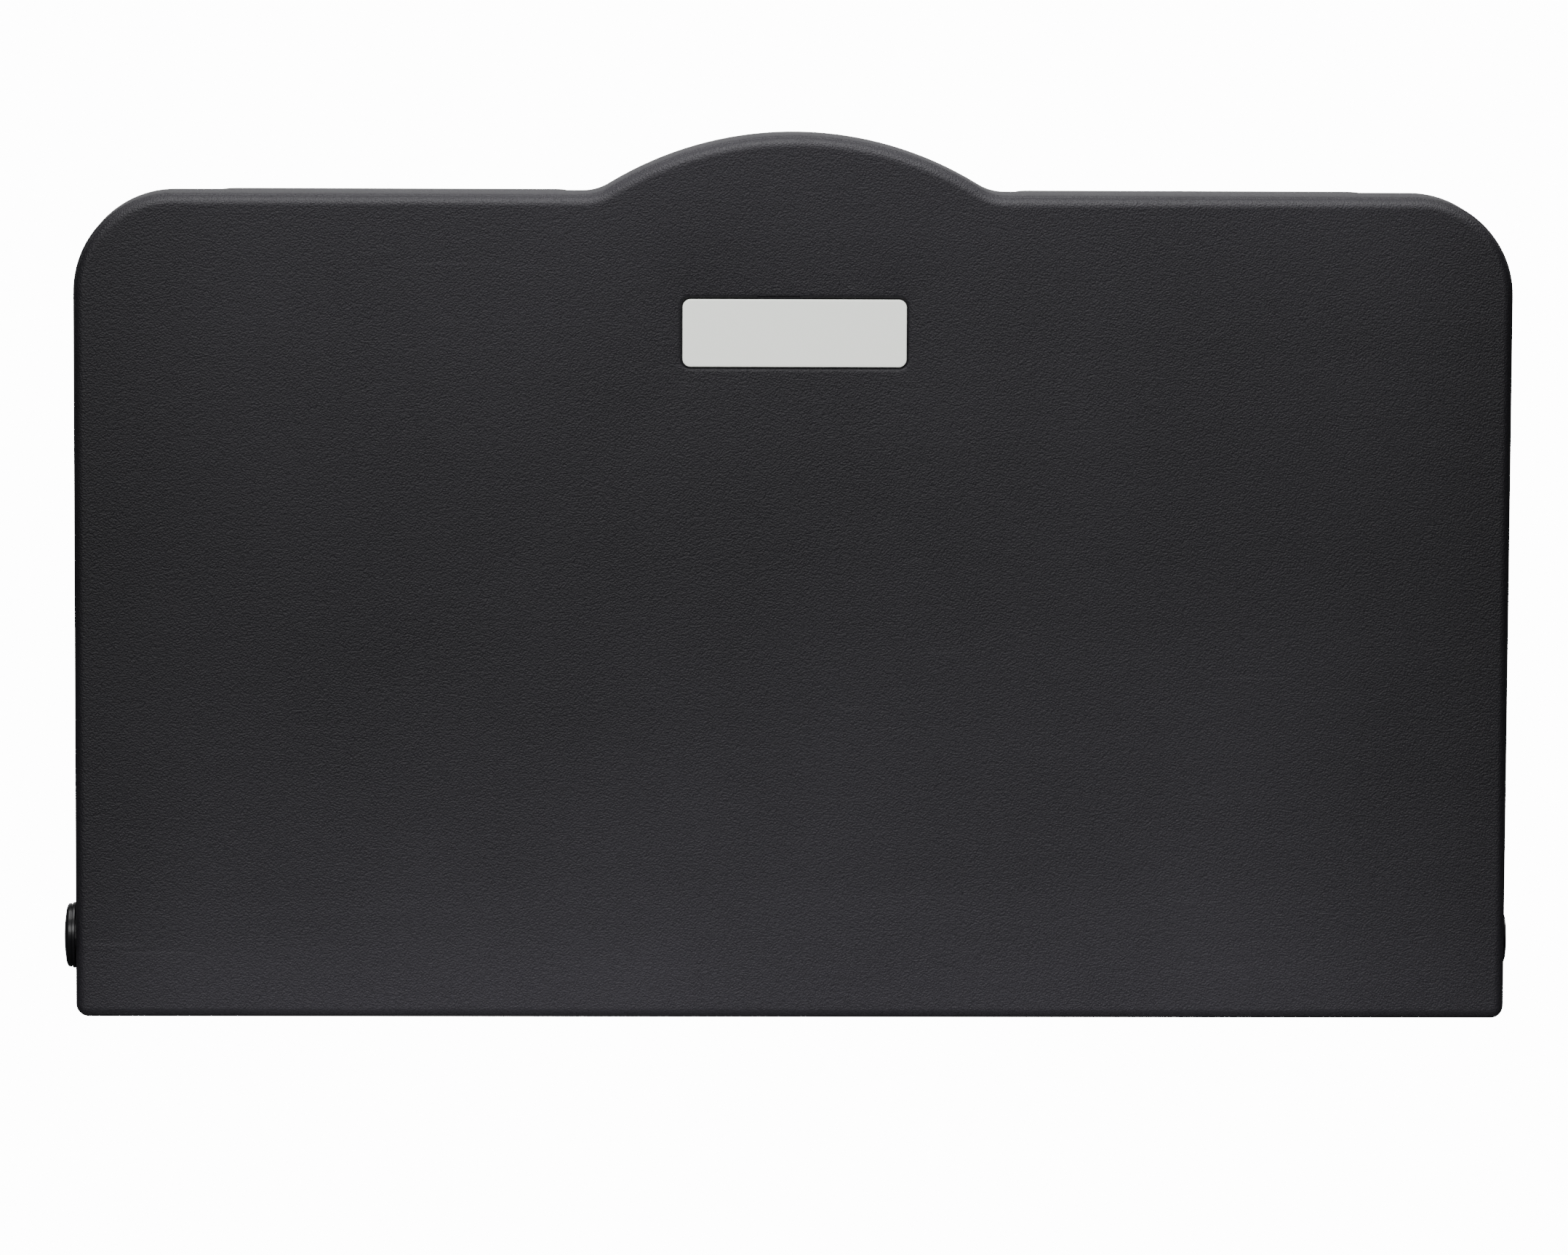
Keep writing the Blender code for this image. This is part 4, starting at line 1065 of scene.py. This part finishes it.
@dataclass
class WallTray:
    """The moulded tray on the wall: a broad hollow rim round a flat floor."""

    half_width: float = 0.402
    low: float = 0.080
    high: float = 0.499
    depth: float = 0.046
    wall: float = 0.003
    rim: float = 0.024
    rim_round: float = 0.008
    dip: float = 0.035
    plate_thick: float = 0.003
    plate_half: float = 0.385
    stud_x: float = 0.2032
    screw_x: float = 0.335
    hole_heights: tuple[float, float] = (0.118, 0.262)

    @property
    def floor_y(self) -> float:
        """The depth of the tray's floor."""
        return -(self.plate_thick + GAP + self.wall)

    def corners(self) -> list[Corner]:
        """The tray's outline, with a dip in the top behind the door's hump for a hand."""
        return mirrored([
            Corner(self.half_width, self.low, 0.032),
            Corner(self.half_width, self.high, 0.062),
            Corner(0.130, self.high, 0.028),
            Corner(0.102, self.high - self.dip, 0.020),
        ])

    def make_tray(self) -> bpy.types.Object:
        """The rim, rounded inside and out, its floor, and the holes for studs and screws.

        Returns:
            The finished piece.
        """
        front = -self.depth
        outer = [
            (self.rim_round * (1 - cosine), front + self.rim_round * (1 - sine))
            for sine, cosine in quarter(9)
        ]
        inner = [(self.rim - inset, y) for inset, y in reversed(outer)]
        foot = [(self.rim, self.floor_y - 0.004), (self.rim + 0.0006, self.floor_y - 0.0018),
                (self.rim + 0.0018, self.floor_y - 0.0005), (self.rim + 0.0035, self.floor_y)]
        bm = bmesh.new()
        start = ring_of(bm, self.corners(), 0.0)
        floor = loft(bm, start, outer + inner + foot)
        close(bm, floor)
        face_way(bm, Vector((0, -1, 0)))
        piece = thicken(as_object(bm, "wall_tray", TRAY), self.wall)
        room = self.plate_half + 0.001
        cutters = [box_mesh(
            (-room, -(self.plate_thick + GAP), up(self.low - 0.01)),
            (room, 0.01, up(self.low + self.wall + 0.010)),
        )]
        for side in (-1, 1):
            for height in self.hole_heights:
                for x, radius in ((self.stud_x, 0.006), (self.screw_x, 0.0028)):
                    centre = Vector((side * x, 0, up(height)))
                    cutters.append(drill(-0.02, 0.01, radius, centre, Axis.Y, 32))
        return register(carve(piece, cutters), Body.WALL, "wall_shell")

    def make_bumpers(self) -> list[bpy.types.Object]:
        """Domed rubber bumpers on the rim that the shut door rests against.

        Returns:
            The four bumpers.
        """
        made = []
        for side in ("left", "right"):
            for row in ("lower", "upper"):
                node = f"closing_bumper_{row}_{side}"
                low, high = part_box(node)
                centre = Vector(((low[0] + high[0]) / 2, 0, (low[2] + high[2]) / 2))
                radius = (high[2] - low[2]) / 2
                profile = [(high[1], 0.0), (high[1], radius)]
                profile += rounded_end(low[1], radius, 0.0016, -1) + [(low[1], 0.0)]
                bumper = as_object(turned_mesh(profile, centre, Axis.Y, 40), f"bumper_{row}_{side}", RUBBER)
                made.append(register(bumper, Body.WALL, node))
        return made

    def build(self) -> None:
        """Makes the tray and its bumpers, and finishes the hooks and the label."""
        self.make_tray()
        self.make_bumpers()
        for side in ("left", "right"):
            from_node(f"bag_hook_{side}", PAINT, 0.0009, 3)
        from_node("instruction_label", LABEL, 0.0001, 1)


@dataclass
class SteelWork:
    """The steel that carries the load: back plate, angle, brackets and shaft."""

    shaft_radius: float = 0.006

    def make_shaft(self) -> bpy.types.Object:
        """The drawn shaft with chamfered ends.

        Returns:
            The finished piece.
        """
        low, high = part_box("hinge_shaft")
        centre = Vector((0, (low[1] + high[1]) / 2, (low[2] + high[2]) / 2))
        radius, chamfer = self.shaft_radius, 0.0008
        profile = [(low[0], 0), (low[0], radius - chamfer), (low[0] + chamfer, radius),
                   (high[0] - chamfer, radius), (high[0], radius - chamfer), (high[0], 0)]
        shaft = as_object(turned_mesh(profile, centre, Axis.X, 48), "shaft", ZINC)
        return register(shaft, Body.WALL, "hinge_shaft")

    def build(self) -> None:
        """Makes the shaft and rounds the edges of the folded steel."""
        self.make_shaft()
        from_node("back_plate", PAINT, 0.0004, 1)
        from_node("stop_angle", PAINT, 0.0005, 2)
        for side in ("left", "right"):
            from_node(f"hinge_bracket_{side}", PAINT, 0.0005, 2)
            from_node(f"open_stop_pad_{side}", RUBBER, 0.0012, 3)


@dataclass
class Fixings:
    """Pan-head screws with crossed recesses, and hexagon bolts."""

    def make_screw(self, node: str, head: float, thick: float, shank: float) -> bpy.types.Object:
        """A screw that points into the wall or the bed.

        Args:
            node: the CAD screw that it stands for.
            head: the head's radius.
            thick: the head's thickness.
            shank: the shank's radius.

        Returns:
            The finished piece.
        """
        low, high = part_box(node)
        towards_wall = BODY_OF_NODE[node] is Body.WALL
        way = -1 if towards_wall else 1
        face, tip = (low[1], high[1]) if towards_wall else (high[1], low[1])
        seat = face - way * thick
        centre = Vector(((low[0] + high[0]) / 2, 0, (low[2] + high[2]) / 2))
        profile = [(tip, 0.0), (tip, shank), (seat, shank), (seat, head), (seat + way * thick * 0.35, head)]
        profile += rounded_end(face, head, thick * 0.65, way, 8)[1:] + [(face, 0.0)]
        piece = as_object(turned_mesh(profile, centre, Axis.Y, 40), f"{node}_finished", ZINC)
        deep, arm, blade = thick * 0.7, head * 0.55, head * 0.13
        ends = sorted((face + way * 0.001, face - way * deep))
        cutters = [
            box_mesh((centre.x - a, ends[0], centre.z - b), (centre.x + a, ends[1], centre.z + b))
            for a, b in ((arm, blade), (blade, arm))
        ]
        return register(carve(piece, cutters), BODY_OF_NODE[node], node)

    def build(self) -> None:
        """Makes every screw and bolt that can be seen."""
        for side in ("left", "right"):
            for row in ("lower", "upper"):
                self.make_screw(f"shell_screw_{row}_{side}", 0.005, 0.0022, 0.0024)
                from_node(f"bracket_bolt_{row}_{side}", ZINC, 0.0006, 2)
            self.make_screw(f"hook_screw_{side}", 0.0045, 0.0020, 0.0022)
            self.make_screw(f"anchor_screw_{side}", 0.0045, 0.0020, 0.0022)


# Liner dispenser


@dataclass
class LinerDispenser:
    """The open-topped box of folded paper liners with its lid and lock."""

    leaves: int = 22

    def make_liners(self) -> bpy.types.Object:
        """A stack of folded liners: each leaf is a rounded fold, a little longer or shorter than the next.

        Returns:
            The finished stack.
        """
        low, high = (Vector(corner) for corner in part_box("liner_stack"))
        pitch = (high.z - low.z) / self.leaves
        bm = bmesh.new()
        for leaf in range(self.leaves):
            short = 0.0016 * abs(math.sin(leaf * 2.3)) + 0.0006 * abs(math.sin(leaf * 5.1))
            part = box_mesh(
                (low.x + short, low.y + short * 0.6, low.z + leaf * pitch + pitch * 0.04),
                (high.x - short * 0.7, high.y - 0.0004, low.z + (leaf + 1) * pitch - pitch * 0.04),
            )
            bmesh.ops.bevel(
                part, geom=part.edges, offset=pitch * 0.42, offset_type="OFFSET", segments=3, profile=0.5,
                affect="EDGES", material=-1, clamp_overlap=True,
            )
            mesh = bpy.data.meshes.new("leaf")
            part.to_mesh(mesh)
            part.free()
            bm.from_mesh(mesh)
            bpy.data.meshes.remove(mesh)
        return register(as_object(bm, "folded_liners", PAPER, 50), Body.WALL, "liner_stack")

    def build(self) -> None:
        """Makes the liners and finishes the box, the lid and the lock."""
        from_node("dispenser_box", TRAY, 0.0008, 3)
        from_node("dispenser_lid", TRAY, 0.0007, 3)
        from_node("lock_housing", CHROME, 0.0004, 2)
        from_node("lock_plug", CHROME, 0.0003, 2)
        from_node("lock_cam", ZINC, 0.0002, 1)
        self.make_liners()


# Safety strap


@dataclass
class SafetyStrap:
    """Woven webbing with stitched ends, and the side-release buckle."""

    height: float = 0.290
    width: float = 0.038
    thick: float = 0.0018
    tub_floor: float = -0.084
    seat: float = 0.0024
    anchor_x: float = 0.1797

    def make_half(self, side: int, buckle_x: float, node: str) -> bpy.types.Object:
        """One length of webbing, which climbs from its anchor to the buckle.

        Args:
            side: -1 for the left half, 1 for the right.
            buckle_x: where the webbing meets the buckle.
            node: the CAD strap that it stands for.

        Returns:
            The finished piece.
        """
        low, high = self.tub_floor + self.seat, self.tub_floor + 0.0072
        start, end = side * self.anchor_x, buckle_x
        steps = 60
        bm = bmesh.new()
        middle = up(self.height)
        z_low, z_high = middle - self.width / 2 + 0.0006, middle + self.width / 2 - 0.0006
        edge = bm.edges.new((bm.verts.new((start, low, z_low)), bm.verts.new((start, low, z_high))))
        bmesh.ops.subdivide_edges(bm, edges=[edge], cuts=11)
        moving = list(bm.edges)
        for step in range(1, steps + 1):
            share = step / steps
            climb = min(1.0, max(0.0, (share - 1 / 3) * 3))
            ripple = 0.0004 * math.sin(share * 9) * (1 - share) * share
            y = low + (high - low) * climb * climb * (3 - 2 * climb) + ripple
            made = bmesh.ops.extrude_edge_only(bm, edges=moving)["geom"]
            moving = [e for e in made if isinstance(e, bmesh.types.BMEdge)]
            for vert in (v for v in made if isinstance(v, BMVert)):
                vert.co.x = start + (end - start) * share
                vert.co.y = y
        self._map(bm)
        face_way(bm, Vector((0, -1, 0)))
        piece = as_object(bm, node + "_webbing", WEBBING, 50)
        modifier = piece.modifiers.new("wall", "SOLIDIFY")
        modifier.thickness = self.thick
        modifier.offset = -1
        soften(piece, 0.0005, 3, 60)
        settle(piece, 60)
        piece = register(piece, Body.DOOR, node)
        if side > 0:
            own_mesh(piece)
        return piece

    def _map(self, bm: BMesh) -> None:
        """Gives the webbing a UV map in metres, along and across."""
        layer = bm.loops.layers.uv.new("along")
        for face in bm.faces:
            for loop in face.loops:
                loop[layer].uv = (loop.vert.co.x, loop.vert.co.z)

    def make_stitching(self, side: int) -> bpy.types.Object:
        """Two rows of stitches where the webbing is sewn down at its anchor.

        Args:
            side: -1 for the left half, 1 for the right.

        Returns:
            The stitches as one piece.
        """
        bm = bmesh.new()
        middle = up(self.height)
        y = self.tub_floor + self.seat + self.thick + 0.0001
        for column in range(2):
            x = side * (self.anchor_x - 0.008 - 0.012 * column)
            for row in range(9):
                z = middle + (row - 4) * 0.0038
                made = bmesh.ops.create_uvsphere(bm, u_segments=8, v_segments=6, radius=0.0005)["verts"]
                bmesh.ops.scale(bm, vec=(1, 0.6, 2.6), verts=made)
                bmesh.ops.translate(bm, vec=(x, y, z), verts=made)
        tag = "left" if side < 0 else "right"
        return register(as_object(bm, f"stitches_{tag}", NYLON, 60), Body.DOOR)

    def build(self) -> None:
        """Makes both halves, the left half's stitches, the anchors and the buckle."""
        self.make_half(-1, -0.0333, "strap_left")
        self.make_half(1, 0.0383, "strap_right")
        self.make_stitching(-1)
        for side in ("left", "right"):
            from_node(f"strap_anchor_{side}", NYLON, 0.0015, 4)
        from_node("buckle_socket", NYLON, 0.0010, 3)
        from_node("buckle_plug", NYLON, 0.0009, 3)


# Studio


@dataclass
class Studio:
    """Plain pale floor, soft boxes above, in front and behind, and the camera."""

    place: Vector = field(default_factory=lambda: Vector((-0.126, -5.25, 0.660)))
    pitch: float = 6.37
    turn: float = 1.34
    roll: float = -0.28
    lens: float = 196.58
    floor: float = -1.20

    def make_camera(self) -> bpy.types.Object:
        """The camera, level with the top of the station and looking slightly down.

        Returns:
            The camera.
        """
        data = bpy.data.cameras.new("camera")
        data.sensor_width = 36
        data.sensor_fit = "HORIZONTAL"
        data.lens = self.lens
        data.clip_end = 60
        camera = bpy.data.objects.new("camera", data)
        turned = Matrix.Rotation(-math.radians(self.turn), 4, "Z")
        tilted = Matrix.Rotation(math.radians(90 - self.pitch), 4, "X")
        rolled = Matrix.Rotation(math.radians(-self.roll), 4, "Z")
        camera.matrix_world = Matrix.Translation(self.place) @ turned @ tilted @ rolled
        bpy.context.scene.collection.objects.link(camera)
        bpy.context.scene.camera = camera
        return camera

    def make_light(
        self, name: str, place: Sequence[float], aim: Sequence[float], size: tuple[float, float], power: float
    ) -> bpy.types.Object:
        """A soft box.

        Args:
            name: its name.
            place: where it hangs.
            aim: the point that it faces.
            size: its width and height.
            power: its power in watts.

        Returns:
            The light.
        """
        data = bpy.data.lights.new(name, "AREA")
        data.shape = "RECTANGLE"
        data.size, data.size_y = size
        data.energy = power
        light = bpy.data.objects.new(name, data)
        light.location = place
        light.rotation_euler = (Vector(aim) - Vector(place)).to_track_quat("-Z", "Y").to_euler()
        light.visible_camera = False
        bpy.context.scene.collection.objects.link(light)
        return light

    def make_surroundings(self) -> None:
        """A white backdrop for the camera that gives little light of its own."""
        world = bpy.data.worlds.new("surroundings")
        world.use_nodes = True
        bpy.context.scene.world = world
        nodes = Nodes(world.node_tree)
        dim = world.node_tree.nodes["Background"]
        dim.inputs["Color"].default_value = (0.9, 0.95, 1.0, 1)
        dim.inputs["Strength"].default_value = 0.05
        white = nodes.add("ShaderNodeBackground", Color=(1, 1, 1, 1), Strength=14.0)
        seen = nodes.add("ShaderNodeLightPath").outputs["Is Camera Ray"]
        mix = nodes.add("ShaderNodeMixShader", Fac=seen)
        nodes.link(dim.outputs["Background"], mix.inputs[1])
        nodes.link(white.outputs["Background"], mix.inputs[2])
        nodes.link(mix.outputs["Shader"], world.node_tree.nodes["World Output"].inputs["Surface"])

    def make_floor(self) -> bpy.types.Object:
        """The pale floor, well below the station as in a washroom."""
        bm = bmesh.new()
        bmesh.ops.create_grid(bm, x_segments=8, y_segments=8, size=4.3)
        bmesh.ops.translate(bm, vec=(0, 0, self.floor), verts=bm.verts)
        pale = Finish("pale_floor", (0.82, 0.82, 0.81), 0.7, specular=0.2, tone=0.02, broad=1.0, fine=60.0)
        floor = as_object(bm, "studio_floor", pale)
        floor.visible_glossy = False
        return floor

    def build(self) -> None:
        """Sets the camera, the floor and the lights."""
        self.make_camera()
        self.make_surroundings()
        self.make_floor()
        self.make_light("soft_box_above", (0.0, -0.2, 2.4), (0, -0.1, 0.3), (2.6, 1.8), 150)
        self.make_light("soft_box_front", (-0.8, -4.6, 2.6), (0, 0, 0.1), (3.0, 2.0), 300)
        self.make_light("soft_box_behind", (0.0, 2.4, 0.9), (0, 0, 0.35), (3.4, 1.2), 14)


def dress_nodes() -> None:
    """Gives every CAD piece that stays its finish."""
    for node, slot in SLOT_OF_NODE.items():
        mesh = bpy.data.objects[node].data
        material = FINISH_OF_SLOT[slot].material()
        if mesh.materials:
            for number in range(len(mesh.materials)):
                mesh.materials[number] = material
        else:
            mesh.materials.append(material)


def main() -> None:
    """Builds the station from the door to the studio."""
    logging.basicConfig(level=logging.INFO, format="%(message)s")
    dress_nodes()
    for part in (BedDoor(), WallTray(), SteelWork(), Fixings(), LinerDispenser(), SafetyStrap(), Studio()):
        part.build()
        LOG.info("built %s", type(part).__name__)


if __name__ == "__main__":
    main()
